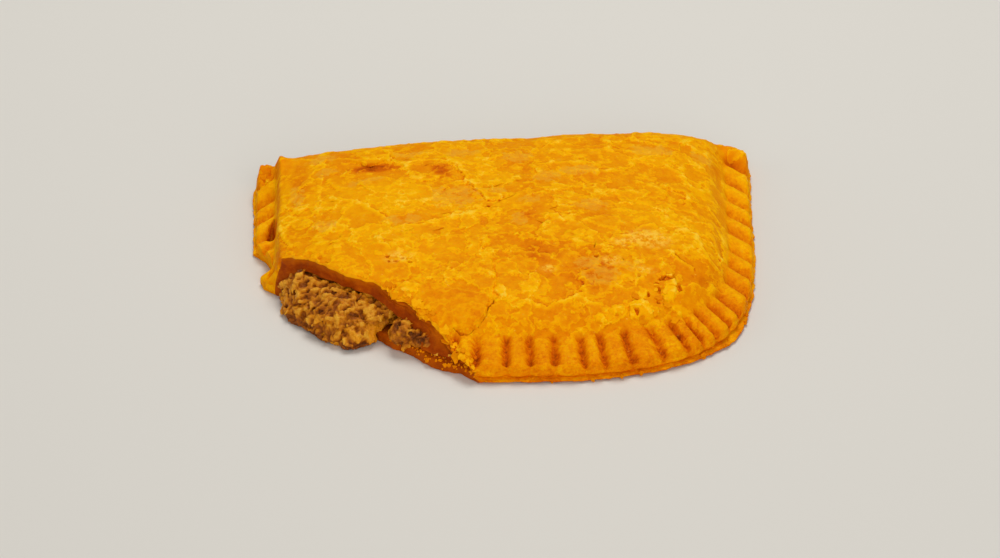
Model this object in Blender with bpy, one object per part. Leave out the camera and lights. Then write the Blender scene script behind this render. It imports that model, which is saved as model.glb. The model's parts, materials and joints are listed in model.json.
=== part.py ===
"""Half-moon savoury pie, baked flat on its underside, with one front corner cut away.

Two solids: the folded crust, crimped along three sides and hollow inside, and the
minced filling, which runs through the hollow and slumps out of the cut.
The fold lies along the back (+Y), the long crimped edge along the front (-Y).
Sizes below are in millimetres and become metres as each mesh is made.
"""

import math
from collections import Counter

import bmesh
import bpy
import numpy as np
from mathutils import Vector, noise
from mathutils.geometry import delaunay_2d_cdt

MM = 0.001

# Plan of the crust.
HALF_WIDTH = 77.5
CURVE_DEPTH = 116.0
STRAIGHT_BACK = 4.0
RIGHT_TAPER = 0.17
LEFT_TAPER = -0.10
SIDE_POWER = 3.0
FRONT_POWER = 6.0
FOLD_Y = CURVE_DEPTH / 2 + STRAIGHT_BACK
LEFT_CORNER = 5.0
RIGHT_CORNER = 6.5
LEFT_EAR = 3.6
RIGHT_EAR = 2.4
FRONT_SKEW = 0.075
CENTRE_X = -0.9
CENTRE_Y = 3.6

# Section of the crust: outer edge height, width and rise of the crimped band,
# the shoulder inside it, and how fast the dome rises from there.
SECTION_NAMES = ("edge", "band", "rise", "shoulder", "run", "spread")
LEFT_SECTION = (4.6, 6.8, 0.8, 6.2, 2.0, 18.0)
FRONT_SECTION = (4.3, 12.0, 4.2, 0.6, 5.0, 20.0)
RIGHT_SECTION = (4.6, 8.4, 2.6, 2.8, 6.0, 16.0)
SECTION_STOPS = (64.0, 109.0, 228.0, 268.0)
BAND = SECTION_NAMES.index("band")
DOME_HEIGHT = 20.0
FOLD_SAG = 2.2
TOP_DOUGH = 4.2
BOTTOM_DOUGH = 3.2
GAP = 0.3
FOLD_ROUND = 8.5
CORNER_LIFT = (6.2, 5.6)
CORNER_REACH = 10.0
BACK_DIP = (1.0, 20.0, 1.8)
BACK_BULGE = (54.0, 12.0, 2.0)

# Crimps: widths of the single lobes where they are uneven, pitch elsewhere.
LEFT_LOBES = (15.0, 9.5, 8.5, 12.0)
FRONT_PITCH = 7.5
CORNER_LOBES = (10.0, 8.5, 5.6, 5.6, 7.4, 6.6)
RIGHT_PITCH = 10.2
FIRST_CRIMP = -3.0
LAST_CRIMP = 3.0
CORNER_START = 208.0
SIDE_STOPS = (60.0, 100.0, 225.0, 262.0)
CRIMP_DEPTHS = (2.2, 1.7, 1.7, 2.2)
CRIMP_LEANS = (-1.0, 0.0, 0.0, 1.0)
CRIMP_WIDTHS = (3.0, 1.8, 2.0, 3.0)
CRIMP_SLANTS = (-0.35, 0.0, 0.0, 0.3)
LIP_SWELL = 0.8
SKIRT = (243.0, 9.0, 1.2)

# The cut corner, in plan, as the crust's upper and lower sheets tore along it.
CUT_TOP = (
    (-86.0, 28.0), (-80.2, 24.4), (-77.2, 19.8), (-74.9, 12.8), (-74.3, 8.6), (-73.9, 6.2),
    (-73.3, 4.2), (-71.9, 1.6), (-63.4, -5.0), (-54.6, -16.0), (-46.3, -20.5), (-38.9, -28.6),
    (-33.4, -34.4), (-27.4, -42.5), (-23.2, -49.5), (-18.8, -56.0), (-14.0, -68.0),
)
CUT_LOW = (
    (-86.0, 28.0), (-80.2, 24.0), (-76.6, 18.6), (-73.4, 11.2), (-76.0, 8.6), (-78.6, 6.6),
    (-77.3, 2.4), (-73.6, -1.2), (-66.0, -7.4), (-56.0, -17.3), (-49.9, -23.9), (-42.0, -34.3),
    (-36.6, -38.9), (-32.0, -45.5), (-23.8, -50.1), (-17.6, -57.2), (-13.0, -68.0),
)
CUT_LOW_Z = 2.0
CUT_START = np.array((-71.4, 1.2))
CUT_END_Y = 8.6
CUT_OUTWARD = np.array((-0.7245, -0.689))
CUT_MARGIN = 8.0
CUT_ROUGHNESS = 0.42
TORN_PIT = (41.0, 7.2, 3.6)

# The minced filling that has slumped out of the cut: how far it reaches and how high it is.
MOUND_BACK = -2.0
MOUND_FRONT = -31.0
MOUND_REACH = 9.0
MOUND_TONGUE = 1.6
MOUND_HEIGHT = 11.2
MOUND_FALL = 3.0
MOUND_GAP = GAP + 0.7
MOUND_BACK_ROWS = (0.75, 0.5, 0.25, 0.0)
LUMP_SIZE = 4.4
CRUMB_SIZE = 2.2

# Spacing of the faceted surface.
RIM_STEP = 1.45
HIDDEN_STEP = 5.0
FOLD_STEP = 3.6
TOP_STEP = 4.3
CUT_STEP = 1.8
CORE_STEP = 9.0
GRID_STEP = 2.0
GRID_LOW = np.array((-90.0, -70.0))
GRID_SIZE = (91, 75)
BLUR_PASSES = 24

for item in list(bpy.data.objects):
    bpy.data.objects.remove(item)


def smoothstep(value):
    value = np.clip(value, 0.0, 1.0)
    return value * value * (3.0 - 2.0 * value)


def hump(values, shape):
    """A rounded hump along one direction, from its place, its half width and its height."""
    place, half_width, height = shape
    return height * np.exp(-(((values - place) / half_width) ** 2))


def wobble(points, scale, seed):
    """Smooth noise from -1 to 1 at each plan or space point, with features of one scale."""
    values = []
    for point in points:
        z = point[2] if len(point) > 2 else 0.0
        place = Vector((point[0] / scale + seed, point[1] / scale - seed, z / scale))
        values.append(noise.noise(place))
    return np.array(values)


def rim_curve(count=4000):
    """The crimped edge in plan, from the fold's left end round the front to its right end."""
    angle = np.linspace(math.pi, 0.0, count)
    cosine, sine = np.cos(angle), np.sin(angle)
    across = np.sign(cosine) * np.abs(cosine) ** (2 / SIDE_POWER)
    forward = np.abs(sine) ** (2 / FRONT_POWER)
    taper = np.where(cosine > 0, RIGHT_TAPER, LEFT_TAPER)
    x = HALF_WIDTH * across * (1 - taper * forward)
    y = CURVE_DEPTH * (0.5 - forward)
    y += FRONT_SKEW * np.clip(8.0 - x, 0.0, 45.0) * smoothstep(forward * 4.0 - 2.8)
    x += 0.7 * smoothstep((y - 30.0) / 26.0) * (x > 0)
    curve = np.stack([x, y], 1)
    back_left = (x[0], fold_line(x[0]))
    back_right = (x[-1], fold_line(x[-1]))
    return np.vstack([back_left, curve, back_right])


def fold_line(x):
    """The folded edge, almost straight, its two corners drawn a little backwards."""
    ears = np.where(np.asarray(x) < 0.0, LEFT_EAR, RIGHT_EAR)
    return FOLD_Y + ears * np.abs(np.asarray(x) / HALF_WIDTH) ** 7


def arc_lengths(points):
    steps = np.linalg.norm(np.diff(points, axis=0), axis=1)
    return np.concatenate([[0.0], np.cumsum(steps)])


RIM = rim_curve()
RIM_ARC = arc_lengths(RIM)
RIM_LENGTH = RIM_ARC[-1]
RIM_SAMPLES = np.linspace(0.0, RIM_LENGTH, 1200)
RIM_POINTS = np.stack([np.interp(RIM_SAMPLES, RIM_ARC, RIM[:, axis]) for axis in (0, 1)], 1)


def nearest_rim(points):
    """For each plan point, its distance to the crimped edge and its place along it."""
    depth = np.empty(len(points))
    along = np.empty(len(points))
    for start in range(0, len(points), 2000):
        block = points[start:start + 2000]
        gaps = np.linalg.norm(block[:, None, :] - RIM_POINTS[None, :, :], axis=2)
        best = gaps.argmin(axis=1)
        depth[start:start + 2000] = gaps[np.arange(len(block)), best]
        along[start:start + 2000] = RIM_SAMPLES[best]
    return depth, along


def section_numbers(along):
    """The section's numbers at each place along the edge, one column for each name."""
    table = np.array((LEFT_SECTION, FRONT_SECTION, FRONT_SECTION, RIGHT_SECTION))
    return np.stack([np.interp(along, SECTION_STOPS, column) for column in table.T], 1)


def blurred_grid():
    """Depth and section numbers over the plan, blurred, so that the dome has no crease."""
    columns, rows = np.meshgrid(np.arange(GRID_SIZE[0]), np.arange(GRID_SIZE[1]))
    grid = GRID_LOW + GRID_STEP * np.stack([columns.ravel(), rows.ravel()], 1)
    depth, along = nearest_rim(grid)
    fields = np.column_stack([depth, section_numbers(along)]).reshape(GRID_SIZE[1], GRID_SIZE[0], -1)
    for _ in range(BLUR_PASSES):
        padded = np.pad(fields, ((1, 1), (1, 1), (0, 0)), mode="edge")
        fields = (padded[:-2, 1:-1] + 2 * padded[1:-1, 1:-1] + padded[2:, 1:-1]) / 4
        padded = np.pad(fields, ((1, 1), (1, 1), (0, 0)), mode="edge")
        fields = (padded[1:-1, :-2] + 2 * padded[1:-1, 1:-1] + padded[1:-1, 2:]) / 4
    return fields


SOFT_FIELDS = blurred_grid()


def soft_fields(points):
    """The blurred depth and section numbers at each plan point."""
    place = np.clip((points - GRID_LOW) / GRID_STEP, 0, np.array(GRID_SIZE) - 1.001)
    i, j = place.astype(int).T
    u, v = (place - place.astype(int)).T[:, :, None]
    low = SOFT_FIELDS[j, i] * (1 - u) + SOFT_FIELDS[j, i + 1] * u
    high = SOFT_FIELDS[j + 1, i] * (1 - u) + SOFT_FIELDS[j + 1, i + 1] * u
    return low * (1 - v) + high * v


def groove_places():
    """Where the pressed grooves cross the edge, measured along it from the fold's left end."""
    places = [FIRST_CRIMP]
    for width in LEFT_LOBES:
        places.append(places[-1] + width)
    count = round((CORNER_START - places[-1]) / FRONT_PITCH)
    pitch = (CORNER_START - places[-1]) / count
    for index in range(count):
        uneven = 0.9 * math.sin(2.4 * index) if index < count - 1 else 0.0
        places.append(CORNER_START - (count - 1 - index) * pitch + uneven)
    for width in CORNER_LOBES:
        places.append(places[-1] + width)
    left_over = RIM_LENGTH + LAST_CRIMP - places[-1]
    count = round(left_over / RIGHT_PITCH)
    start = places[-1]
    for index in range(count):
        uneven = 0.7 * math.sin(1.9 * index + 1.0) if index < count - 1 else 0.0
        places.append(start + (index + 1) * left_over / count + uneven)
    return np.array(places)


GROOVES = groove_places()


def crimp_lobe(along, depth):
    """1 on the crest of each crimp, 0 in the groove between two."""
    slant = np.interp(along, SIDE_STOPS, CRIMP_SLANTS)
    phase = np.interp(along + slant * depth, GROOVES, np.arange(len(GROOVES)))
    share = phase - np.floor(phase)
    lean = np.interp(along, SIDE_STOPS, CRIMP_LEANS)
    share += np.maximum(-lean, 0.0) * (share ** 0.6 - share)
    share += np.maximum(lean, 0.0) * (1.0 - (1.0 - share) ** 0.6 - share)
    width = np.interp(along, SIDE_STOPS, CRIMP_WIDTHS)
    return 1.0 - np.abs(np.cos(math.pi * share)) ** width


def top_height(points):
    """Height of the crust's upper skin over each plan point, without its flakes."""
    points = np.asarray(points, float)
    depth, along = nearest_rim(points)
    fields = np.column_stack([depth, section_numbers(along)])
    fields += (soft_fields(points) - fields) * smoothstep((depth - 14.0) / 16.0)[:, None]
    soft = fields[:, 0]
    part = dict(zip(SECTION_NAMES, fields[:, 1:].T))
    corner = CORNER_LIFT[0] * np.exp(-((along / CORNER_REACH) ** 2))
    corner += CORNER_LIFT[1] * np.exp(-(((RIM_LENGTH - along) / CORNER_REACH) ** 2))
    corner *= 1.0 - smoothstep((depth - 5.0) / 9.0)
    band = part["band"]
    crown = DOME_HEIGHT - part["edge"] - part["rise"] - part["shoulder"]
    past = np.maximum(soft - band, 0.0)
    height = part["edge"] + part["rise"] * np.clip(soft / band, 0.0, 1.0) + corner
    height += part["shoulder"] * smoothstep(past / part["run"])
    height += crown * (1.0 - np.exp(-past / part["spread"]))
    dome = height / DOME_HEIGHT
    from_fold = np.maximum(fold_line(points[:, 0]) - points[:, 1], 0.0)
    sag = FOLD_SAG + hump(points[:, 0], BACK_DIP) - hump(points[:, 0], BACK_BULGE)
    height -= sag * np.exp(-from_fold / 12.0) * dome
    height += dome * (0.8 * wobble(points, 34.0, 3.0) + 0.5 * wobble(points, 13.0, 8.0))
    pressed = smoothstep((depth - 0.2) / 2.2) * (1.0 - smoothstep((depth - band + 1.6) / 3.2))
    deep = np.interp(along, SIDE_STOPS, CRIMP_DEPTHS)
    height -= deep * (1.0 - crimp_lobe(along, depth)) * pressed
    pit_along, pit_depth, pit_fall = TORN_PIT
    height -= pit_fall * np.exp(-(((along - pit_along) / 4.6) ** 2) - ((depth - pit_depth) / 1.5) ** 2)
    radius = fold_radius(height)
    inside = np.clip(from_fold / radius, 0.0, 1.0)
    return height * (0.5 + 0.5 * np.sqrt(1.0 - (1.0 - inside) ** 2))


def fold_radius(height):
    return np.minimum(0.5 * height, FOLD_ROUND)


def plan_loop():
    """The whole outline in plan, anticlockwise from the fold's left end, corners rounded."""
    left = np.array((RIM[0, 0] + LEFT_CORNER, RIM[0, 1] - LEFT_CORNER))
    right = np.array((RIM[-1, 0] - RIGHT_CORNER, RIM[-1, 1] - RIGHT_CORNER))
    level = np.where(RIM[:, 0] < 0.0, left[1], right[1])
    keep = RIM[RIM[:, 1] < level]
    turns = np.linspace(0.0, math.pi / 2, 12)
    right_arc = right + RIGHT_CORNER * np.stack([np.cos(turns), np.sin(turns)], 1)
    left_arc = left + LEFT_CORNER * np.stack([-np.sin(turns), np.cos(turns)], 1)
    across = np.linspace(right[0], left[0], 80)[1:-1]
    fold = np.column_stack([across, fold_line(across)])
    return np.vstack([keep, right_arc, fold, left_arc, keep[:1]])


def is_cut_away(point, margin):
    """Whether a plan point lies well inside the corner that the cut removes."""
    return (np.asarray(point) - CUT_START) @ CUT_OUTWARD > margin and point[1] < CUT_END_Y


def loop_stations():
    """Points round the outline: close on the crimps, wider on the fold and where it is cut."""
    loop = plan_loop()
    arc = arc_lengths(loop)
    places = []
    place = 0.0
    while place < arc[-1] - 0.4 * RIM_STEP:
        places.append(place)
        point = [np.interp(place, arc, loop[:, axis]) for axis in (0, 1)]
        if is_cut_away(point, CUT_MARGIN):
            place += HIDDEN_STEP
        elif point[1] > FOLD_Y - 1.0 and abs(point[0]) < HALF_WIDTH - 6.0:
            place += FOLD_STEP
        else:
            place += RIM_STEP
    places = np.array(places)
    points = np.stack([np.interp(places, arc, loop[:, axis]) for axis in (0, 1)], 1)
    ahead = np.stack([np.interp((places + 0.5) % arc[-1], arc, loop[:, axis]) for axis in (0, 1)], 1)
    behind = np.stack([np.interp((places - 0.5) % arc[-1], arc, loop[:, axis]) for axis in (0, 1)], 1)
    tangent = ahead - behind
    tangent /= np.linalg.norm(tangent, axis=1)[:, None]
    inward = np.stack([-tangent[:, 1], tangent[:, 0]], 1)
    fold = smoothstep((-0.15 - inward[:, 1]) / 0.75)
    return points, inward, fold


def evened(ring, weight, passes=8):
    """A closed ring with its points spaced more evenly where the weight is near 1."""
    for _ in range(passes):
        middle = (np.roll(ring, 1, axis=0) + np.roll(ring, -1, axis=0)) / 2
        ring = ring + (middle - ring) * 0.5 * weight[:, None]
    return ring


def edge_rings(points, inward, fold):
    """Rings from the underside, over the two sheets' edges or the round fold, to the top."""
    depth, along = nearest_rim(points)
    lobe = crimp_lobe(along, np.zeros(len(along)))
    ragged = 0.45 * wobble(points, 3.1, 5.0) + 0.35 * wobble(points, 9.0, 6.0)
    sheet = ragged - hump(along, SKIRT)
    lip = LIP_SWELL * (1.0 - lobe)
    rim_profile = (
        (2.4 + 0 * lobe, 0.0),
        (sheet + 0.6, 0.25),
        (sheet, 1.0),
        (sheet + 0.5, 1.8),
        (1.9 + 0 * lobe, 2.2),
        (lip + 0.9, 2.8),
        (lip + 0.7, 3.5),
        (lip + 1.7, None),
        (3.2 + 0 * lobe, None),
    )
    turns = np.radians((-90.0, -58.0, -36.0, -15.0, 6.0, 27.0, 44.0, 60.0, 75.0))
    fold_height = top_height(points + inward * 8.0) * (1 - fold) + fold * top_height(
        np.column_stack([points[:, 0] + inward[:, 0] * 3.0, points[:, 1] - 9.0])
    )
    radius = fold_radius(fold_height)
    to_corner = [np.linalg.norm(points - corner, axis=1) for corner in (RIM[0], RIM[-1])]
    near_corner = hump(np.minimum(*to_corner), (0.0, CORNER_REACH, 1.0))
    rings = []
    for (offset, level), turn in zip(rim_profile, turns):
        upward = max(math.sin(turn), 0.0)
        round_offset = radius * (1.0 - math.cos(turn))
        round_level = fold_height * 0.5 * (1.0 + math.sin(turn))
        mixed = offset * (1 - fold) + round_offset * fold
        plan = evened(points + inward * mixed[:, None], near_corner * upward)
        top = top_height(plan)
        rim_level = top if level is None else np.minimum(level, top - 0.2)
        height = rim_level * (1 - fold) + round_level * fold
        if level is None and turn == turns[-1]:
            height = top
        rings.append(np.column_stack([plan, height]))
    return rings


def spread_points(polygon, step):
    """Staggered rows of points inside a plan polygon, clear of its edge."""
    low, high = polygon.min(axis=0), polygon.max(axis=0)
    found = []
    for row, y in enumerate(np.arange(low[1], high[1], step * 0.866)):
        for x in np.arange(low[0] + (row % 2) * step / 2, high[0], step):
            found.append((x, y))
    found = np.array(found)
    clear = inside_polygon(found, polygon)
    found = found[clear]
    gaps = np.linalg.norm(found[:, None, :] - polygon[None, :, :], axis=2).min(axis=1)
    return found[gaps > step * 0.5]


def inside_polygon(points, polygon):
    x, y = points[:, 0], points[:, 1]
    inside = np.zeros(len(points), bool)
    before = polygon[-1]
    for corner in polygon:
        crosses = (corner[1] > y) != (before[1] > y)
        slope = (before[0] - corner[0]) / (before[1] - corner[1] + 1e-12)
        inside ^= crosses & (x < corner[0] + slope * (y - corner[1]))
        before = corner
    return inside


def ragged_patch(centre, size, turn, seed, count=24):
    """Uneven outline of a flake of crust, anticlockwise."""
    corners = []
    for index in range(count):
        angle = 2 * math.pi * index / count
        reach = 1.0 + 0.5 * noise.noise(Vector((math.cos(angle) * 1.3, math.sin(angle) * 1.3, seed)))
        reach += 0.13 * math.sin(5.0 * angle + seed) + 0.07 * math.sin(9.0 * angle - seed)
        x, y = size[0] * reach * math.cos(angle), size[1] * reach * math.sin(angle)
        corners.append((
            centre[0] + x * math.cos(turn) - y * math.sin(turn),
            centre[1] + x * math.sin(turn) + y * math.cos(turn),
        ))
    return np.array(corners)


def crack_line(start, end, bend, width, seed, count=9):
    """Outline of a thin crack between two plan points, widest in its middle."""
    start, end = np.array(start), np.array(end)
    side = np.array((start[1] - end[1], end[0] - start[0]))
    side /= np.linalg.norm(side)
    left, right = [], []
    for index in range(count + 1):
        share = index / count
        sway = bend * math.sin(math.pi * share) + 0.9 * math.sin(7.0 * share + seed)
        middle = start + (end - start) * share + side * sway
        half = width * (0.25 + 0.75 * math.sin(math.pi * share))
        left.append(middle + side * half)
        right.append(middle - side * half)
    return np.array(right + left[::-1])


def shrunk(outline, amount):
    """The outline moved inwards by an amount, along the normals of its corners."""
    ahead, behind = np.roll(outline, -1, axis=0), np.roll(outline, 1, axis=0)
    tangent = ahead - behind
    tangent /= np.linalg.norm(tangent, axis=1)[:, None] + 1e-9
    return outline + amount * np.stack([-tangent[:, 1], tangent[:, 0]], 1)


# Flakes of the skin: centre, half sizes, turn, seed and height. A negative height is a place
# where the skin has come away.
FLAKES = (
    ((-22.5, -35.0), (9.5, 7.0), -0.5, 1.0, -0.7),
    ((-2.0, 32.5), (9.0, 4.6), 0.2, 2.0, 0.9),
    ((-16.0, 18.5), (11.0, 5.0), 0.15, 3.0, -0.6),
    ((27.0, -39.5), (12.0, 5.2), 0.1, 4.0, 0.8),
    ((24.0, -4.0), (9.5, 6.0), 0.3, 5.0, -0.6),
    ((-39.5, -7.0), (7.0, 4.4), -0.3, 6.0, 0.8),
    ((46.0, 4.0), (9.0, 6.5), 0.9, 7.0, 0.7),
    ((-41.0, 38.0), (10.0, 6.5), 0.1, 8.0, -0.6),
    ((33.0, 34.0), (10.5, 5.5), -0.2, 9.0, 0.7),
    ((4.0, -16.0), (11.0, 6.0), 0.5, 10.0, 0.6),
)
CRACKS = (
    ((-30.0, -22.0), (-11.5, -29.5), 1.5, 0.75, 1.0),
    ((-27.5, 43.0), (-12.5, 41.5), -1.0, 0.7, 2.0),
    ((9.0, 14.0), (24.0, 19.5), 1.2, 0.7, 3.0),
    ((35.0, -21.5), (46.0, -27.0), 1.0, 0.85, 4.0),
)


def closed_edges(first, count):
    return [(first + index, first + (index + 1) % count) for index in range(count)]


def triangulated(plan, edges, outline):
    """Triangles over plan points that keep some edges, only where they lie inside an outline."""
    result = delaunay_2d_cdt([Vector(place) for place in plan], edges, [], 1, 1e-5, True)
    places = np.array([tuple(place) for place in result[0]])
    middles = np.array([places[list(triangle)].mean(axis=0) for triangle in result[2]])
    inside = inside_polygon(middles, outline)
    triangles = [tuple(triangle) for triangle, kept in zip(result[2], inside) if kept]
    rim = [source[0] if source else -1 for source in result[3]]
    neighbours = Counter(frozenset(side) for triangle in triangles for side in sides_of(triangle))

    def on_outline(side):
        first, second = rim[side[0]], rim[side[1]]
        count = len(outline)
        return max(first, second) < count and (first - second) % count in (1, count - 1)

    def is_sliver(triangle):
        return any(neighbours[frozenset(side)] == 1 and not on_outline(side) for side in sides_of(triangle))

    return places, [triangle for triangle in triangles if not is_sliver(triangle)], result[3]


def sides_of(triangle):
    return zip(triangle, triangle[1:] + triangle[:1])


def top_skin(edge_loop):
    """The skin inside the edge's last ring: points in plan, their heights and the triangles."""
    plan = [edge_loop[:, :2]]
    heights = [edge_loop[:, 2]]
    edges = closed_edges(0, len(edge_loop))
    total = len(edge_loop)
    outlines = []
    reliefs = [(ragged_patch(c, size, turn, seed), rise) for c, size, turn, seed, rise in FLAKES]
    reliefs += [(crack_line(a, b, bend, width, seed), -1.1) for a, b, bend, width, seed in CRACKS]
    for outline, rise in reliefs:
        inner = shrunk(outline, 0.5)
        for ring, lift in ((outline, 0.0), (inner, rise)):
            plan.append(ring)
            heights.append(top_height(ring) + lift)
            edges += closed_edges(total, len(ring))
            total += len(ring)
        outlines.append((outline, inner, rise))

    rows = []
    station, inward, fold = loop_stations()
    for depth, stride in ((4.9, 1), (6.8, 1), (8.6, 1), (10.6, 2), (13.2, 2)):
        row = (station + inward * depth)[fold == 0][::stride]
        rows.append(row[row[:, 1] < FOLD_Y - 9.0])
    near = np.vstack(rows)
    near = near[[not is_cut_away(point, CUT_MARGIN) for point in near]]
    loose = spread_points(edge_loop[:, :2], TOP_STEP)
    loose = loose[nearest_rim(loose)[0] > 15.0]
    for group, clear in ((near, 0.8), (loose, 1.5)):
        for ring in plan[1:]:
            gaps = np.linalg.norm(group[:, None, :] - ring[None, :, :], axis=2).min(axis=1)
            group = group[gaps > clear]
        lift = np.zeros(len(group))
        for outline, inner, rise in outlines:
            lift[inside_polygon(group, outline)] = rise
        plan.append(group)
        heights.append(top_height(group) + lift)
    plan = np.vstack(plan)
    heights = np.concatenate(heights)
    places, triangles, sources = triangulated(plan, edges, edge_loop[:, :2])
    points = []
    for place, source in zip(places, sources):
        height = heights[source[0]] if source else top_height(np.array([place]))[0]
        points.append((place[0], place[1], height))
    return np.array(points), triangles, sources


def material(name, colour, roughness):
    made = bpy.data.materials.new(name)
    made.use_nodes = True
    shader = made.node_tree.nodes["Principled BSDF"]
    shader.inputs["Base Color"].default_value = (*colour, 1.0)
    shader.inputs["Roughness"].default_value = roughness
    shader.inputs["Metallic"].default_value = 0.0
    return made


def object_from(name, points, faces, surface=None):
    """A mesh object from points in millimetres of the plan frame, moved to the part's origin."""
    mesh = bpy.data.meshes.new(name)
    moved = (np.asarray(points, float) - (CENTRE_X, CENTRE_Y, 0.0)) * MM
    mesh.from_pydata([tuple(p) for p in moved], [], faces)
    mesh.validate()
    made = bpy.data.objects.new(name, mesh)
    bpy.context.collection.objects.link(made)
    if surface:
        mesh.materials.append(surface)
    work = bmesh.new()
    work.from_mesh(mesh)
    bmesh.ops.triangulate(work, faces=work.faces)
    bmesh.ops.recalc_face_normals(work, faces=work.faces)
    work.to_mesh(mesh)
    work.free()
    mesh.shade_smooth()
    return made


def hide_cutter(cutter):
    cutter.hide_render = True
    cutter.display_type = "WIRE"
    return cutter


def add_boolean(target, other, operation):
    step = target.modifiers.new(operation.title(), "BOOLEAN")
    step.operation = operation
    step.object = other
    step.solver = "EXACT"
    return step


def crust_solid(surface):
    """The folded crust before its corner is cut and its inside hollowed."""
    stations = loop_stations()
    rings = edge_rings(*stations)
    count = len(rings[0])
    points = list(np.vstack(rings))
    faces = []
    for level in range(len(rings) - 1):
        for index in range(count):
            after = (index + 1) % count
            low, high = level * count, (level + 1) * count
            faces.append((low + index, low + after, high + after, high + index))
    faces.append(tuple(range(count - 1, -1, -1)))
    skin, triangles, sources = top_skin(rings[-1])
    last = (len(rings) - 1) * count
    index_of = {}
    for index, source in enumerate(sources):
        ring_index = next((item for item in source if item < count), None)
        if ring_index is None:
            index_of[index] = len(points)
            points.append(skin[index])
        else:
            index_of[index] = last + ring_index
    faces += [tuple(index_of[corner] for corner in triangle) for triangle in triangles]
    return object_from("pastry_crust", points, faces, surface)


def matched_path(corners, other, step):
    """Points along a path of corners, as many between two corners as the longer path needs."""
    corners, other = np.array(corners), np.array(other)
    shares = [0.0]
    for index in range(len(corners) - 1):
        longest = max(
            np.linalg.norm(corners[index + 1] - corners[index]),
            np.linalg.norm(other[index + 1] - other[index]),
        )
        parts = max(1, round(longest / step))
        shares += [index + (part + 1) / parts for part in range(parts)]
    keys = np.arange(len(corners))
    return np.stack([np.interp(shares, keys, corners[:, axis]) for axis in (0, 1)], 1)


def cut_paths(outward, step):
    """The cut's lower and upper path, moved outwards by an amount."""
    paths = []
    for corners, other in ((CUT_LOW, CUT_TOP), (CUT_TOP, CUT_LOW)):
        path = matched_path(corners, other, step)
        tangent = np.gradient(path, axis=0)
        padded = np.pad(tangent, ((4, 4), (0, 0)), mode="edge")
        smooth = np.stack([np.convolve(padded[:, axis], np.ones(9) / 9, "valid") for axis in (0, 1)], 1)
        smooth /= np.linalg.norm(smooth, axis=1)[:, None]
        normal = np.stack([smooth[:, 1], -smooth[:, 0]], 1)
        paths.append(path + normal * np.asarray(outward).reshape(-1, 1))
    return paths


def wall_share(level, crest):
    """How far the torn wall has come from its lower to its upper path at a height."""
    return smoothstep((level - CUT_LOW_Z) / (crest - CUT_LOW_Z))


def corner_cutter(name, outward, levels, roughness, step, seed):
    """A block over the front-left corner whose inner wall follows the ragged cut."""
    low, top = cut_paths(outward, step)
    crest = top_height(top)
    points, faces = [], []
    far = [(-12.0, -90.0), (-110.0, -90.0), (-110.0, 30.0)]
    for level in levels:
        wall = low + (top - low) * wall_share(level, crest)[:, None]
        places = np.column_stack([wall, np.full(len(wall), level)])
        shift = roughness * wobble(places, 2.3, seed) + 0.6 * roughness * wobble(places, 6.0, seed + 4)
        wall = wall - shift[:, None] * CUT_OUTWARD
        points += [(x, y, level) for x, y in wall] + [(x, y, level) for x, y in far]
    count = len(low) + len(far)
    for row in range(len(levels) - 1):
        for index in range(count):
            after = (index + 1) % count
            a, b = row * count, (row + 1) * count
            faces.append((a + index, a + after, b + after, b + index))
    faces.append(tuple(range(count - 1, -1, -1)))
    faces.append(tuple(range((len(levels) - 1) * count, len(levels) * count)))
    return hide_cutter(object_from(name, points, faces))


def hollow_points(shrink, gap):
    """The lens-shaped hollow inside the crust, or the core that fills it with a gap all round."""
    samples = np.linspace(0.0, RIM_LENGTH, 74)
    edge = np.stack([np.interp(samples, RIM_ARC, RIM[:, axis]) for axis in (0, 1)], 1)
    ahead = np.stack([np.interp(samples + 1.0, RIM_ARC, RIM[:, axis]) for axis in (0, 1)], 1)
    behind = np.stack([np.interp(samples - 1.0, RIM_ARC, RIM[:, axis]) for axis in (0, 1)], 1)
    tangent = ahead - behind
    tangent /= np.linalg.norm(tangent, axis=1)[:, None]
    inward = np.stack([-tangent[:, 1], tangent[:, 0]], 1)
    inset = section_numbers(samples)[:, BAND] + 1.8
    rings = []
    for extra in (0.0, 2.6):
        ring = edge + inward * (inset + extra)[:, None]
        ring = ring[ring[:, 1] < FOLD_Y - 8.0 - extra]
        left, right = ring[0], ring[-1]
        back = np.linspace(right[0], left[0], 26)[1:-1]
        back = np.column_stack([back, np.full(len(back), FOLD_Y - 7.0 - extra)])
        rings.append(np.vstack([ring, back]))
    outer, inner = rings
    loose = spread_points(inner, CORE_STEP)
    plan = np.vstack([outer, inner, loose])
    edges = closed_edges(0, len(outer)) + closed_edges(len(outer), len(inner))
    places, triangles, sources = triangulated(plan, edges, outer)
    on_edge = np.array([any(item < len(outer) for item in source) for source in sources])
    triangles = [triangle for triangle in triangles if not on_edge[list(triangle)].all()]
    roof = top_height(places) - TOP_DOUGH - gap
    floor = np.full(len(places), BOTTOM_DOUGH + gap)
    roof = np.maximum(roof, floor + 0.25)
    middle = (roof + floor) / 2
    centre = np.array((0.0, 2.0))
    places = centre + (places - centre) * shrink
    points = [(x, y, m if e else r) for (x, y), r, m, e in zip(places, roof, middle, on_edge)]
    lower_of = {}
    for index, ((x, y), low, edge_point) in enumerate(zip(places, floor, on_edge)):
        lower_of[index] = index if edge_point else len(points)
        if not edge_point:
            points.append((x, y, low))
    faces = list(triangles)
    faces += [tuple(lower_of[corner] for corner in reversed(triangle)) for triangle in triangles]
    return points, faces


def pebbles(place, scale, seed):
    """Cell noise: 1 in the middle of each crumb, 0 in the pits between them."""
    distances, _ = noise.voronoi(Vector(place) / scale + Vector((seed, seed, seed)))
    return min(1.0, (distances[1] - distances[0]) * 1.5)


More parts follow.
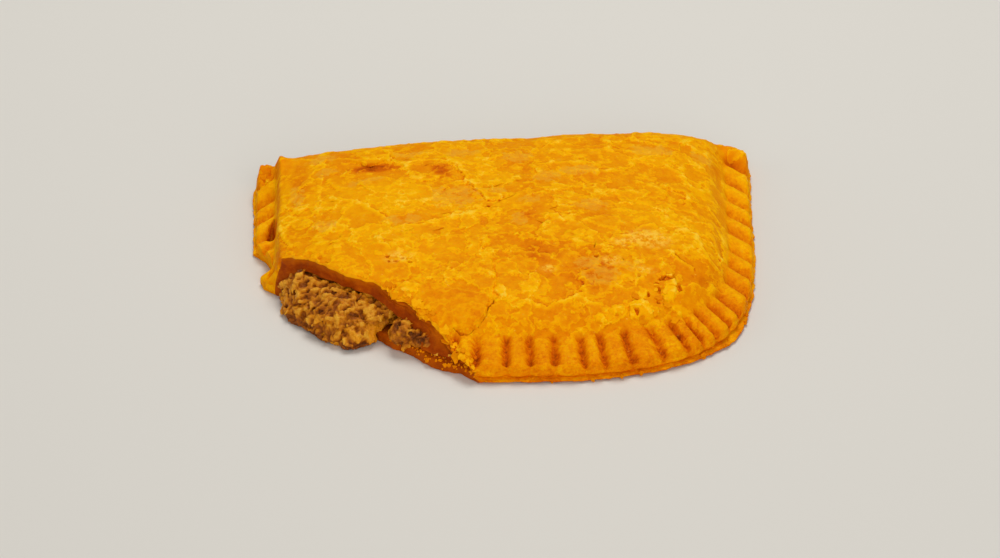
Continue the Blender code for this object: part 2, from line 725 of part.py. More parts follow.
def mince_mound(surface):
    """The part of the filling that has slumped out of the cut and rests beside the crust."""
    low, top = cut_paths(MOUND_GAP, 1.5)
    wall_crest = top_height(top)
    chosen = [i for i, p in enumerate(low) if MOUND_BACK >= p[1] >= MOUND_FRONT and p[0] > -73.5]
    profile = 14
    points, faces = [], []
    for order, index in enumerate(chosen):
        share = order / (len(chosen) - 1)
        swell = smoothstep((share + 0.03) / 0.36) * (1.0 - 0.75 * smoothstep((share - 0.92) / 0.08))
        reach = 1.0 + MOUND_REACH * float(swell) + hump(share, (0.68, 0.16, MOUND_TONGUE))
        crest = MOUND_HEIGHT * (0.68 + 0.32 * float(smoothstep(share / 0.15)))
        crest -= MOUND_FALL * float(smoothstep((share - 0.7) / 0.3))
        root_low, root_top = low[index], top[index]
        column = []
        for step in range(profile):
            turn = 0.5 * math.pi * step / (profile - 1)
            out = reach * max(math.cos(turn), 0.0) ** 0.75
            height = crest * math.sin(turn) ** 0.85
            root = root_low + (root_top - root_low) * float(wall_share(height, wall_crest[index]))
            place = np.array((*(root + CUT_OUTWARD * out), height))
            lump = 2.3 * pebbles(place, LUMP_SIZE, 2.0) + 0.6 * pebbles(place, CRUMB_SIZE, 5.0) - 1.4
            lump += 1.2 * noise.noise(Vector(place) / 9.0)
            foot = min(1.0, 0.35 + 0.2 * step)
            push = lump * foot * min(1.0, reach / 5.0)
            if step == profile - 1:
                push = 0.0
            normal = np.array((*(CUT_OUTWARD * math.cos(turn)), math.sin(turn)))
            place = place + normal * push
            place[2] = max(place[2], 0.35) if step else 0.0
            column.append(place)
        for height in crest * np.array(MOUND_BACK_ROWS):
            root = root_low + (root_top - root_low) * float(wall_share(height, wall_crest[index]))
            column.append(np.array((*root, height)))
        points += column
    width = profile + len(MOUND_BACK_ROWS)
    for order in range(len(chosen) - 1):
        for step in range(width):
            after = (step + 1) % width
            a, b = order * width, (order + 1) * width
            faces.append((a + step, a + after, b + after, b + step))
    faces.append(tuple(range(width)))
    faces.append(tuple(range(len(points) - 1, len(points) - width - 1, -1)))
    return hide_cutter(object_from("slumped_mince", points, faces, surface))


crust_surface = material("baked golden crust", (0.80, 0.33, 0.02), 0.62)
mince_surface = material("curried mince", (0.39, 0.21, 0.06), 0.55)

crust = crust_solid(crust_surface)
hollow = hide_cutter(object_from("hollow", *hollow_points(1.0, 0.0)))
cut_levels = (-2.0, 0.8, 2.2, 3.6, 5.0, 6.5, 8.0, 9.5, 11.0, 13.0, 16.0, 30.0)
cut = corner_cutter("cut_corner", 0.0, cut_levels, CUT_ROUGHNESS, CUT_STEP, 4.0)
add_boolean(crust, hollow, "DIFFERENCE")
add_boolean(crust, cut, "DIFFERENCE")

filling = object_from("meat_filling", *hollow_points(0.992, GAP), mince_surface)
path_y = cut_paths(0.0, 1.6)[0][:, 1]
face_offset = np.where(path_y > -28.0, 3.0, np.where(path_y > -31.5, 0.8, -0.9))
face_levels = (-2.0, 3.2, 4.6, 6.0, 7.4, 8.8, 10.2, 11.6, 30.0)
face = corner_cutter("mince_face", face_offset, face_levels, 1.0, 1.6, 9.0)
add_boolean(filling, face, "DIFFERENCE")
mound = mince_mound(mince_surface)
add_boolean(filling, mound, "UNION")

print(f"crust edge {RIM_LENGTH:.0f} mm long, with {len(GROOVES) - 1} crimps")
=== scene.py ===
# %% [markdown]
# # A half-moon savoury pie, torn open at one corner
# The real thing is a sheet of dough, yellow with turmeric, folded over a spoon of curried
# mince, pressed shut with a fork on three sides and baked on a flat tray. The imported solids
# hold its true size and form. This lesson dresses them: one mesh for the crust with its
# crimps, plates and cracks, one for the mince, and three for loose flakes and crumbs. Sizes
# are in millimetres until a mesh is made, because a baker's detail is easy to judge in them.

import json
import math
from contextlib import contextmanager

import bmesh
import bpy
import numpy as np
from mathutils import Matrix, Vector, noise
from mathutils.bvhtree import BVHTree
from mathutils.geometry import delaunay_2d_cdt

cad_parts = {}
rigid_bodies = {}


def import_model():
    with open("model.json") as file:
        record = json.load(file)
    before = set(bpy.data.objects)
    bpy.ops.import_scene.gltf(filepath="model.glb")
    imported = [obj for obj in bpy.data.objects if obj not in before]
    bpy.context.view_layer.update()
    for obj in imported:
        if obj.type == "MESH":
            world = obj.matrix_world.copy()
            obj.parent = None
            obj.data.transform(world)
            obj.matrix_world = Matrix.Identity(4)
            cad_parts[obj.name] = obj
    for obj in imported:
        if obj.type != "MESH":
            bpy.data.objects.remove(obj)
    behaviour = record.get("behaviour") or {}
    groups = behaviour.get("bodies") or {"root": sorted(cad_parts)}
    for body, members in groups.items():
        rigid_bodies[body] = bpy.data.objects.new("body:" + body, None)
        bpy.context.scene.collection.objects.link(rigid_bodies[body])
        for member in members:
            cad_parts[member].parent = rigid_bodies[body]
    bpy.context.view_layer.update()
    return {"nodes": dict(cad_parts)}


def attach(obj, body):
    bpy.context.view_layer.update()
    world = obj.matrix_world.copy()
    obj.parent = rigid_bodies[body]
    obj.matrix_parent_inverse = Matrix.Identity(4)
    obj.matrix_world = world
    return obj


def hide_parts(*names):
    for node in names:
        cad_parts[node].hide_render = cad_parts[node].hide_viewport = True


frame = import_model()
MM = 0.001

# %% [markdown]
# ## Camera, floor and light
# The photograph looks down at about 31 degrees through a long lens, and the floor is plain
# and pale. One soft lamp overhead and a little behind makes the top bright and leaves the
# front edge in gentle shade, a wide one in front keeps the shade warm, and a low one on the
# left reaches the crimps there. Point lamps would give hard shadows that the real one lacks.

# %% Colours and the node helper


def linear(code):
    """An sRGB hex colour as the linear values that a shader takes."""
    channels = [int(code[index:index + 2], 16) / 255 for index in (1, 3, 5)]
    straight = [c / 12.92 if c <= 0.04045 else ((c + 0.055) / 1.055) ** 2.4 for c in channels]
    return (*straight, 1.0)


def add(tree, kind, inputs=(), shades=(), **settings):
    """Adds one node with its settings and links. An input takes a value, a socket, or a node
    for its first output. The inputs go by name or in order, and shades are a ramp's colours."""
    made = tree.nodes.new(kind)
    for name, value in settings.items():
        setattr(made, name, value)
    for key, value in inputs.items() if isinstance(inputs, dict) else enumerate(inputs):
        if isinstance(value, bpy.types.Node):
            value = value.outputs[0]
        if isinstance(value, bpy.types.NodeSocket):
            tree.links.new(value, made.inputs[key])
        else:
            made.inputs[key].default_value = value
    for index, (place, code) in enumerate(shades):
        stops = made.color_ramp.elements
        stop = stops[index] if index < 2 else stops.new(place)
        stop.position = place
        stop.color = linear(code)
    return made


# %% Camera
AZIMUTH = math.radians(-6.1)
ELEVATION = math.radians(31.1)
DISTANCE = 1.2313
AIM = Vector((-0.00595, -0.00177, 0.0))
LENS = 147.4


def placed(name, data):
    """A new object in the scene, at the origin."""
    made = bpy.data.objects.new(name, data)
    bpy.context.collection.objects.link(made)
    return made


def look_from(azimuth, elevation):
    """Unit vector from the object towards an eye at that azimuth and elevation."""
    flat = math.cos(elevation)
    return Vector((math.sin(azimuth) * flat, -math.cos(azimuth) * flat, math.sin(elevation)))


camera_data = bpy.data.cameras.new("photo_camera")
camera_data.sensor_width = 36.0
camera_data.lens = LENS
camera_data.clip_start = 0.05
camera = placed("photo_camera", camera_data)
camera.location = AIM + look_from(AZIMUTH, ELEVATION) * DISTANCE
camera.rotation_euler = look_from(AZIMUTH, ELEVATION).to_track_quat("Z", "Y").to_euler()
bpy.context.scene.camera = camera
print("camera", round(DISTANCE, 3), "m away with a", LENS, "mm lens")

# %% Floor
FLOOR_SIZE = 4.0
FLOOR_LEVEL = -0.0002


def open_paint(material, sockets):
    """A material's node tree and its shader, with plain values on some of its sockets."""
    material.use_nodes = True
    shader = material.node_tree.nodes["Principled BSDF"]
    for socket, value in sockets.items():
        shader.inputs[socket].default_value = value
    return material.node_tree, shader


floor_mesh = bpy.data.meshes.new("pale_floor")
half = FLOOR_SIZE / 2
floor_corners = [(-half, -half, 0), (half, -half, 0), (half, half, 0), (-half, half, 0)]
floor_mesh.from_pydata(floor_corners, [], [(0, 1, 2, 3)])
floor = placed("pale_floor", floor_mesh)
floor.location.z = FLOOR_LEVEL
floor_paint = bpy.data.materials.new("pale matt floor")
open_paint(floor_paint, {"Base Color": linear("#dbd9d4"), "Roughness": 0.6})
floor_mesh.materials.append(floor_paint)

# %% Lamps and the room's light


def lamp(name, azimuth, elevation, distance, size, power, tint):
    """A square soft lamp that faces the object, at a direction in degrees, sizes in metres."""
    data = bpy.data.lights.new(name, "AREA")
    data.size = size
    data.energy = power
    data.color = linear(tint)[:3]
    made = placed(name, data)
    direction = look_from(math.radians(azimuth), math.radians(elevation))
    made.location = direction * distance
    made.rotation_euler = direction.to_track_quat("Z", "Y").to_euler()


lamp("window_above", 168, 64, 1.1, 0.55, 6.6, "#fffdf8")
lamp("wide_front", 10, 20, 1.6, 1.5, 15.5, "#fffaf4")
lamp("low_left", -80, 16, 1.5, 1.0, 3.2, "#fff6ea")
room = bpy.data.worlds.new("soft_room")
room.use_nodes = True
room_light = room.node_tree.nodes["Background"]
room_light.inputs["Color"].default_value = linear("#f4f2ee")
room_light.inputs["Strength"].default_value = 0.33
bpy.context.scene.world = room
bpy.context.scene.view_settings.view_transform = "Standard"

# %% [markdown]
# ## The rim, measured along its length
# Everything on this crust is laid out from its rim: how deep the fork went, how wide the
# pressed band is, where the dome begins. So the rim comes first, as one curve in plan from
# the fold's left end round the front to its right end. A superellipse with tapered sides
# gives the shape from five numbers. Each later point then has two useful coordinates, its
# depth in from the rim and its place along it. Drawing the outline by hand would give no
# such coordinates.

# %% Smooth steps, humps and noise


def smoothstep(value):
    """0 up to 0, 1 from 1 on, and an S-shaped curve between them."""
    value = np.clip(value, 0.0, 1.0)
    return value * value * (3.0 - 2.0 * value)


def hump(values, shape):
    """A rounded hump along one direction, from its place, its half width and its height."""
    place, half_width, height = shape
    return height * np.exp(-(((values - place) / half_width) ** 2))


def wobble(points, scale, seed):
    """Smooth noise from -1 to 1, with features of one scale."""
    values = []
    for point in points:
        z = point[2] if len(point) > 2 else 0.0
        place = Vector((point[0] / scale + seed, point[1] / scale - seed, z / scale))
        values.append(noise.noise(place))
    return np.array(values)


# %% Rim curve
# A taper narrows the front on its side, and widens it where it is below 0. A higher power
# makes the outline squarer, and the ears draw the fold's two corners back.
HALF_WIDTH = 77.5
CURVE_DEPTH = 116.0
STRAIGHT_BACK = 4.0
RIGHT_TAPER = 0.17
LEFT_TAPER = -0.10
SIDE_POWER = 3.0
FRONT_POWER = 6.0
FOLD_Y = CURVE_DEPTH / 2 + STRAIGHT_BACK
LEFT_CORNER = 5.0
RIGHT_CORNER = 6.5
LEFT_EAR = 3.6
RIGHT_EAR = 2.4
FRONT_SKEW = 0.075
SKEW_FROM = 8.0
SKEW_REACH = 45.0
RIGHT_FLARE = 0.7
CENTRE = np.array((-0.9, 3.6, 0.0))


def fold_line(x):
    """The folded edge, almost straight, its two corners drawn a little backwards."""
    ears = np.where(np.asarray(x) < 0.0, LEFT_EAR, RIGHT_EAR)
    return FOLD_Y + ears * np.abs(np.asarray(x) / HALF_WIDTH) ** 7


def rim_curve():
    """The rim in plan, as close points from the fold's left end round to its right end."""
    angle = np.linspace(math.pi, 0.0, 4000)
    cosine, sine = np.cos(angle), np.sin(angle)
    across = np.sign(cosine) * np.abs(cosine) ** (2 / SIDE_POWER)
    forward = np.abs(sine) ** (2 / FRONT_POWER)
    taper = np.where(cosine > 0, RIGHT_TAPER, LEFT_TAPER)
    x = HALF_WIDTH * across * (1 - taper * forward)
    y = CURVE_DEPTH * (0.5 - forward)
    y += FRONT_SKEW * np.clip(SKEW_FROM - x, 0.0, SKEW_REACH) * smoothstep(forward * 4.0 - 2.8)
    x += RIGHT_FLARE * smoothstep((y - 30.0) / 26.0) * (x > 0)
    ends = np.array([(x[0], fold_line(x[0])), (x[-1], fold_line(x[-1]))])
    return np.vstack([ends[:1], np.stack([x, y], 1), ends[1:]])


def arc_lengths(points):
    """How far along a line each of its points lies."""
    steps = np.linalg.norm(np.diff(points, axis=0), axis=1)
    return np.concatenate([[0.0], np.cumsum(steps)])


def at_lengths(curve, arc, lengths):
    """Plan points at some lengths along a curve."""
    return np.stack([np.interp(lengths, arc, curve[:, axis]) for axis in (0, 1)], 1)


RIM = rim_curve()
RIM_ARC = arc_lengths(RIM)
RIM_LENGTH = RIM_ARC[-1]
RIM_SAMPLES = np.linspace(0.0, RIM_LENGTH, 1200)
RIM_POINTS = at_lengths(RIM, RIM_ARC, RIM_SAMPLES)
RIM_TANGENTS = np.gradient(RIM_POINTS, RIM_SAMPLES, axis=0)
print(f"rim {RIM_LENGTH:.0f} mm long")

# %% Depth in from the rim and place along it


def nearest_rim(points):
    """For each plan point, its distance to the rim and its place along it."""
    depth = np.empty(len(points))
    along = np.empty(len(points))
    half_step = RIM_SAMPLES[1] / 2
    for start in range(0, len(points), 2000):
        block = points[start:start + 2000]
        gaps = np.linalg.norm(block[:, None, :] - RIM_POINTS[None, :, :], axis=2)
        best = gaps.argmin(axis=1)
        offset = ((block - RIM_POINTS[best]) * RIM_TANGENTS[best]).sum(axis=1)
        offset = np.clip(offset, -half_step, half_step)
        foot = RIM_POINTS[best] + RIM_TANGENTS[best] * offset[:, None]
        depth[start:start + 2000] = np.linalg.norm(block - foot, axis=1)
        along[start:start + 2000] = RIM_SAMPLES[best] + offset
    return depth, along


# %% [markdown]
# ## The dome's height
# The section of the crust, from the rim inwards, is a low pressed band, a shoulder and a
# dome that levels off. Its numbers differ on the left, the front and the right, and are
# blended along the rim. Down the middle, where the nearest rim changes sides, all of them
# are read from a blurred grid, so that the dome has no crease. The fork's grooves are left
# out here, because a node tree presses them in later.

# %% Section of the crust
# Height of the edge, width and rise of the pressed band, height and run of the shoulder
# behind it, and how gently the dome levels off. The stops are places along the rim.
SECTION_NAMES = ("edge", "band", "rise", "shoulder", "run", "spread")
LEFT_SECTION = (4.0, 6.6, 2.4, 5.2, 1.9, 18.0)
FRONT_SECTION = (4.3, 12.0, 4.2, 0.6, 5.0, 20.0)
RIGHT_SECTION = (4.6, 8.4, 2.6, 2.8, 6.0, 16.0)
SECTION_STOPS = (64.0, 109.0, 228.0, 268.0)
BAND = SECTION_NAMES.index("band")
GRID_STEP = 2.0
GRID_LOW = np.array((-90.0, -70.0))
GRID_SIZE = (91, 75)
BLUR_PASSES = 24


def section_numbers(along):
    """The section's numbers at each place along the rim, one column for each name."""
    table = np.array((LEFT_SECTION, FRONT_SECTION, FRONT_SECTION, RIGHT_SECTION))
    return np.stack([np.interp(along, SECTION_STOPS, column) for column in table.T], 1)


def blurred_grid():
    """Depth and section numbers over the plan, blurred."""
    columns, rows = np.meshgrid(np.arange(GRID_SIZE[0]), np.arange(GRID_SIZE[1]))
    grid = GRID_LOW + GRID_STEP * np.stack([columns.ravel(), rows.ravel()], 1)
    depth, along = nearest_rim(grid)
    fields = np.column_stack([depth, section_numbers(along)])
    fields = fields.reshape(GRID_SIZE[1], GRID_SIZE[0], -1)
    for _ in range(BLUR_PASSES):
        padded = np.pad(fields, ((1, 1), (1, 1), (0, 0)), mode="edge")
        fields = (padded[:-2, 1:-1] + 2 * padded[1:-1, 1:-1] + padded[2:, 1:-1]) / 4
        padded = np.pad(fields, ((1, 1), (1, 1), (0, 0)), mode="edge")
        fields = (padded[1:-1, :-2] + 2 * padded[1:-1, 1:-1] + padded[1:-1, 2:]) / 4
    return fields


SOFT_FIELDS = blurred_grid()


def soft_fields(points):
    """The blurred depth and section numbers at each plan point."""
    place = np.clip((points - GRID_LOW) / GRID_STEP, 0, np.array(GRID_SIZE) - 1.001)
    i, j = place.astype(int).T
    u, v = (place - place.astype(int)).T[:, :, None]
    low = SOFT_FIELDS[j, i] * (1 - u) + SOFT_FIELDS[j, i + 1] * u
    high = SOFT_FIELDS[j + 1, i] * (1 - u) + SOFT_FIELDS[j + 1, i + 1] * u
    return low * (1 - v) + high * v


# %% Height of the crust before it is crimped
# Dip, bulge and pit are humps: place, half width and height.
DOME_HEIGHT = 20.0
FOLD_SAG = 2.2
FOLD_ROUND = 8.5
CORNER_LIFT = (7.6, 5.6)
CORNER_REACH = 10.0
BACK_DIP = (1.0, 20.0, 1.8)
BACK_BULGE = (54.0, 12.0, 2.0)
PIT_ALONG = (37.5, 4.6, 3.2)
PIT_INWARD = (5.6, 1.7, 1.0)


def fold_radius(height):
    """Radius of the round fold where the dome is of some height."""
    return np.minimum(0.5 * height, FOLD_ROUND)


def dome_height(points):
    """Height of the upper skin over each plan point, without crimps, plates or cracks."""
    depth, along = nearest_rim(points)
    fields = np.column_stack([depth, section_numbers(along)])
    fields += (soft_fields(points) - fields) * smoothstep((depth - 14.0) / 16.0)[:, None]
    soft = fields[:, 0]
    part = dict(zip(SECTION_NAMES, fields[:, 1:].T))
    band = part["band"]
    corner = hump(along, (0.0, CORNER_REACH, CORNER_LIFT[0]))
    corner += hump(along, (RIM_LENGTH, CORNER_REACH, CORNER_LIFT[1]))
    corner *= 1.0 - smoothstep((depth - 5.0) / 9.0)
    crown = DOME_HEIGHT - part["edge"] - part["rise"] - part["shoulder"]
    past = np.maximum(soft - band, 0.0)
    height = part["edge"] + part["rise"] * np.clip(soft / band, 0.0, 1.0) + corner
    height += part["shoulder"] * smoothstep(past / part["run"])
    height += crown * (1.0 - np.exp(-past / part["spread"]))
    dome = height / DOME_HEIGHT
    from_fold = np.maximum(fold_line(points[:, 0]) - points[:, 1], 0.0)
    sag = FOLD_SAG + hump(points[:, 0], BACK_DIP) - hump(points[:, 0], BACK_BULGE)
    height -= sag * np.exp(-from_fold / 12.0) * dome
    height += dome * (0.8 * wobble(points, 34.0, 3.0) + 0.5 * wobble(points, 13.0, 8.0))
    height -= hump(along, PIT_ALONG) * hump(depth, PIT_INWARD)
    inside = np.clip(from_fold / fold_radius(height), 0.0, 1.0)
    return height * (0.5 + 0.5 * np.sqrt(1.0 - (1.0 - inside) ** 2))


# %% [markdown]
# ## Plates, ledges, cracks and holes
# A flaky crust bakes into thin sheets. Where a sheet ends there is a small step with a bright
# edge, partly paler skin and partly painted highlight, and where two have pulled apart there
# is a crack, painted dark as painted shade. A plate is one such sheet with its edge all round,
# and a ledge is a single edge of a larger one, with a painted shadow on its low side. The ones
# that the eye picks out are placed here as a few corner points each, and a function makes
# their edges ragged. The same outlines serve twice: the mesh has corners exactly on them, so
# that each step stays crisp, and the colours know where they are.

# %% Plates
# Outline, step height, tone (1 is a pale new flake, -1 a deep orange old one).
PLATES = (
    (((-41.0, -25.0), (-37.9, -23.1), (-32.3, -21.7), (-27.3, -21.3), (-22.9, -19.0),
      (-18.9, -16.2), (-16.4, -17.1), (-11.2, -15.4), (-10.5, -24.5), (-12.6, -31.4),
      (-14.7, -37.0), (-17.3, -41.1), (-21.0, -42.6), (-24.6, -41.2), (-28.0, -45.0),
      (-47.0, -30.0)), 0.5, 0.08),
    (((-33.0, -24.5), (-28.9, -23.8), (-25.2, -27.0), (-20.2, -28.9), (-15.2, -30.8),
      (-11.8, -33.2), (-14.5, -36.0), (-15.0, -38.5), (-19.2, -42.0), (-24.6, -41.4),
      (-29.0, -44.0), (-37.0, -33.0)), 0.4, -0.08),
    (((-12.3, -3.5), (-11.2, -2.3), (-10.2, -6.2), (-12.7, -9.3), (-14.6, -11.8),
      (-13.7, -8.7)), 0.4, 1.0),
    (((-13.2, -21.3), (-11.7, -21.7), (-10.5, -24.6), (-12.6, -24.8)), 0.4, 1.0),
    (((-10.8, -26.7), (-8.4, -28.0), (-8.7, -32.0), (-10.5, -32.4), (-11.6, -30.0)), 0.5, 1.0),
    (((-48.5, 47.4), (-44.8, 44.6), (-42.7, 43.2), (-40.0, 44.0), (-35.4, 45.8),
      (-36.0, 49.0), (-43.0, 50.0)), 0.6, 0.3),
    (((26.0, -41.5), (27.2, -36.5), (30.5, -34.8), (33.0, -36.8), (34.2, -41.0),
      (30.0, -42.8)), 0.6, 0.85),
    (((16.2, -42.8), (17.0, -39.8), (19.4, -40.4), (19.8, -43.0)), 0.5, 0.8),
    (((20.6, -39.6), (22.4, -36.8), (25.2, -38.2), (24.0, -41.0)), 0.45, 0.7),
    (((36.6, -33.0), (38.6, -29.4), (41.6, -30.6), (40.4, -35.0), (37.6, -36.0)), 0.6, 0.95),
    (((31.0, -43.2), (33.4, -41.0), (36.0, -43.0), (33.6, -45.0)), 0.45, 0.8),
    (((9.6, -37.0), (11.2, -35.8), (13.4, -37.2), (11.6, -39.2)), 0.35, 0.7),
)
print(len(PLATES), "plates")

# %% Ledges
# A sheet's torn edge with the raised side on its left, and how high it stands.
LEDGES = (
    (((-38.2, 5.9), (-38.7, 8.2), (-40.3, 11.7), (-42.5, 14.6), (-45.1, 18.3), (-47.7, 21.8),
      (-50.5, 24.3), (-53.2, 26.5), (-56.0, 28.5), (-58.1, 26.9)), 0.4),
    (((-9.4, 12.2), (-13.5, 10.4), (-18.4, 9.2), (-23.4, 7.7), (-28.4, 5.8), (-33.3, 4.6),
      (-38.2, 5.9)), 0.4),
    (((-19.6, 42.1), (-16.6, 37.8), (-15.4, 32.3), (-14.7, 27.4), (-12.6, 23.4), (-10.6, 19.3),
      (-9.6, 15.6), (-5.7, 15.4), (-3.5, 17.8), (-0.4, 19.1)), 0.6),
    (((-44.8, 47.4), (-49.0, 51.2), (-54.4, 51.9), (-58.5, 49.3), (-62.1, 47.1)), 0.3),
    (((-34.7, 44.1), (-32.5, 41.4), (-31.5, 35.6), (-30.9, 31.5), (-27.1, 29.8),
      (-23.2, 29.7), (-21.2, 32.9)), 0.35),
    (((-49.9, 6.3), (-53.5, 9.2), (-56.3, 11.2)), 0.3),
    (((-39.6, -7.8), (-41.3, -5.1), (-43.0, -0.7), (-45.7, -1.4)), 0.35),
    (((-17.3, -3.9), (-16.9, -7.3), (-17.3, -10.5)), 0.35),
    (((-53.1, 15.0), (-55.9, 10.0), (-59.4, 6.9)), 0.3),
    (((-72.8, 29.6), (-72.1, 13.8), (-69.7, 4.8), (-65.6, 1.9)), 0.3),
    (((-56.2, 39.0), (-54.4, 32.9), (-53.2, 28.9)), 0.25),
    (((-30.0, 14.0), (-24.5, 18.5), (-20.0, 26.0)), 0.25),
    (((23.2, 37.9), (19.8, 36.9), (13.3, 37.6), (7.3, 37.3)), 0.35),
    (((33.8, 31.7), (27.7, 30.9), (22.4, 31.8), (16.4, 31.8)), 0.35),
    (((58.5, 22.6), (56.7, 27.6), (53.8, 30.1), (52.4, 32.1), (50.1, 34.8), (45.1, 34.4)), 0.35),
    (((45.8, 19.9), (51.3, 20.3), (51.2, 15.8), (50.0, 11.6)), 0.3),
    (((12.6, 0.0), (12.4, 3.1), (9.7, 7.6), (6.5, 6.9)), 0.35),
    (((41.5, -2.5), (39.2, 0.3), (35.3, -1.5), (31.4, -6.1), (27.2, -6.3), (24.8, -8.1)), 0.35),
    (((48.8, -22.4), (48.1, -19.7), (45.1, -18.2), (43.4, -15.3), (40.8, -13.0)), 0.45),
    (((58.0, -14.8), (55.8, -14.8), (53.9, -13.3), (52.5, -8.0), (51.8, -1.8)), 0.4),
    (((57.3, 6.1), (59.8, 4.1), (59.9, -0.7), (59.2, -7.0), (56.5, -13.9)), 0.35),
    (((50.0, -3.4), (49.3, -0.7), (45.9, -1.5)), 0.3),
    (((8.6, -15.7), (2.0, -13.5), (-3.0, -11.8)), 0.35),
    (((19.8, -22.9), (16.1, -22.7), (13.9, -24.0), (12.9, -27.7)), 0.35),
    (((14.6, -24.6), (14.0, -27.0), (13.7, -31.7), (11.3, -33.0), (7.1, -34.7), (3.0, -36.2),
      (-2.5, -33.9), (-8.1, -34.0)), 0.4),
    (((19.4, -36.2), (16.6, -36.4), (14.0, -34.0)), 0.35),
    (((44.6, -32.0), (43.6, -31.1), (42.2, -28.3), (40.9, -25.3), (37.3, -26.4)), 0.6),
    (((31.0, 17.5), (21.0, 16.0), (14.0, 20.0)), 0.25),
    (((47.0, 17.0), (43.5, 22.0), (36.0, 26.0)), 0.25),
    (((42.0, 42.0), (33.0, 46.0), (24.0, 44.0)), 0.25),
)
print(len(LEDGES), "ledges")

# %% Cracks and holes
# Cracks: points from one end to the other, width.
CRACKS = (
    (((-11.4, -32.6), (-12.9, -34.4), (-14.4, -35.4), (-14.8, -38.1), (-16.4, -40.0),
      (-17.6, -41.1)), 0.5),
    (((-19.0, -42.0), (-21.4, -42.8), (-23.3, -42.2), (-25.0, -41.2)), 0.8),
    (((-9.9, 23.0), (-8.9, 22.9), (-5.7, 23.8), (-3.8, 24.9), (-1.5, 24.5)), 0.7),
    (((-0.3, 26.6), (1.8, 26.9)), 0.5),
    (((-7.1, 14.0), (-5.0, 15.5), (-3.2, 16.3), (-1.5, 17.7), (0.6, 19.4)), 0.5),
    (((-23.9, 9.6), (-19.6, 10.6)), 0.45),
    (((-18.9, 7.7), (-16.7, 9.4), (-14.3, 10.2)), 0.45),
    (((-26.6, 0.8), (-23.6, 2.4)), 0.5),
    (((-23.2, 43.2), (-18.2, 44.9)), 0.5),
    (((-26.2, 39.5), (-23.6, 40.6)), 0.4),
    (((4.2, 3.0), (6.1, 1.3), (7.6, 1.0)), 0.45),
    (((9.2, 8.8), (12.4, 9.6)), 0.45),
    (((-45.2, 45.0), (-43.9, 43.2), (-42.4, 42.4), (-40.2, 43.2)), 0.9),
    (((-35.6, 45.6), (-33.2, 44.3), (-28.6, 45.0)), 0.5),
    (((-56.6, 24.7), (-54.3, 23.4)), 0.5),
    (((-58.5, -1.0), (-57.2, -0.1), (-55.9, 0.1)), 0.65),
    (((-55.3, 2.2), (-54.1, 3.1)), 0.45),
    (((-45.0, -1.7), (-43.2, -1.1)), 0.45),
    (((-36.2, 1.0), (-33.1, 1.9)), 0.45),
    (((11.8, -4.6), (13.3, -5.2), (15.0, -6.4)), 0.45),
    (((16.0, -8.4), (17.5, -10.4)), 0.45),
    (((20.4, -10.1), (19.8, -12.7)), 0.4),
    (((22.5, -16.0), (24.0, -17.0)), 0.45),
    (((27.3, -18.2), (27.8, -20.2)), 0.45),
    (((33.5, -12.4), (34.5, -13.1)), 0.4),
    (((-12.0, 0.5), (-9.4, -0.6)), 0.4),
    (((40.4, -12.8), (42.3, -14.3), (44.6, -16.8), (46.4, -18.2)), 0.35),
    # The last and widest, low on the dome's left side, is dented and painted dark: a painted shade.
    (((-74.8, 24.6), (-74.2, 28.0), (-73.4, 31.4), (-72.6, 34.4)), 3.0),
)
# Holes where the skin has come away: centre, half width, half depth.
HOLES = (
    ((-9.3, 12.4), 0.8, 0.6), ((39.4, -26.6), 2.6, 1.4), ((36.1, -28.7), 0.9, 0.7),
    ((36.4, -31.2), 0.9, 1.5), ((33.0, -33.0), 0.6, 1.2), ((35.6, -35.6), 0.9, 0.7),
    ((42.6, -30.0), 1.2, 1.9), ((28.9, -39.3), 0.8, 1.6), ((28.2, -35.7), 0.5, 0.6),
    ((31.7, -35.4), 0.5, 0.7), ((19.9, -17.1), 1.1, 0.7), ((-41.6, -10.9), 0.7, 0.6),
    ((-39.2, -13.4), 1.1, 0.5), ((-37.2, -12.2), 0.7, 0.6), ((-35.3, -14.2), 1.0, 0.6),
    ((-41.4, -13.1), 0.6, 0.6),
)
print(len(CRACKS), "cracks,", len(HOLES), "holes")
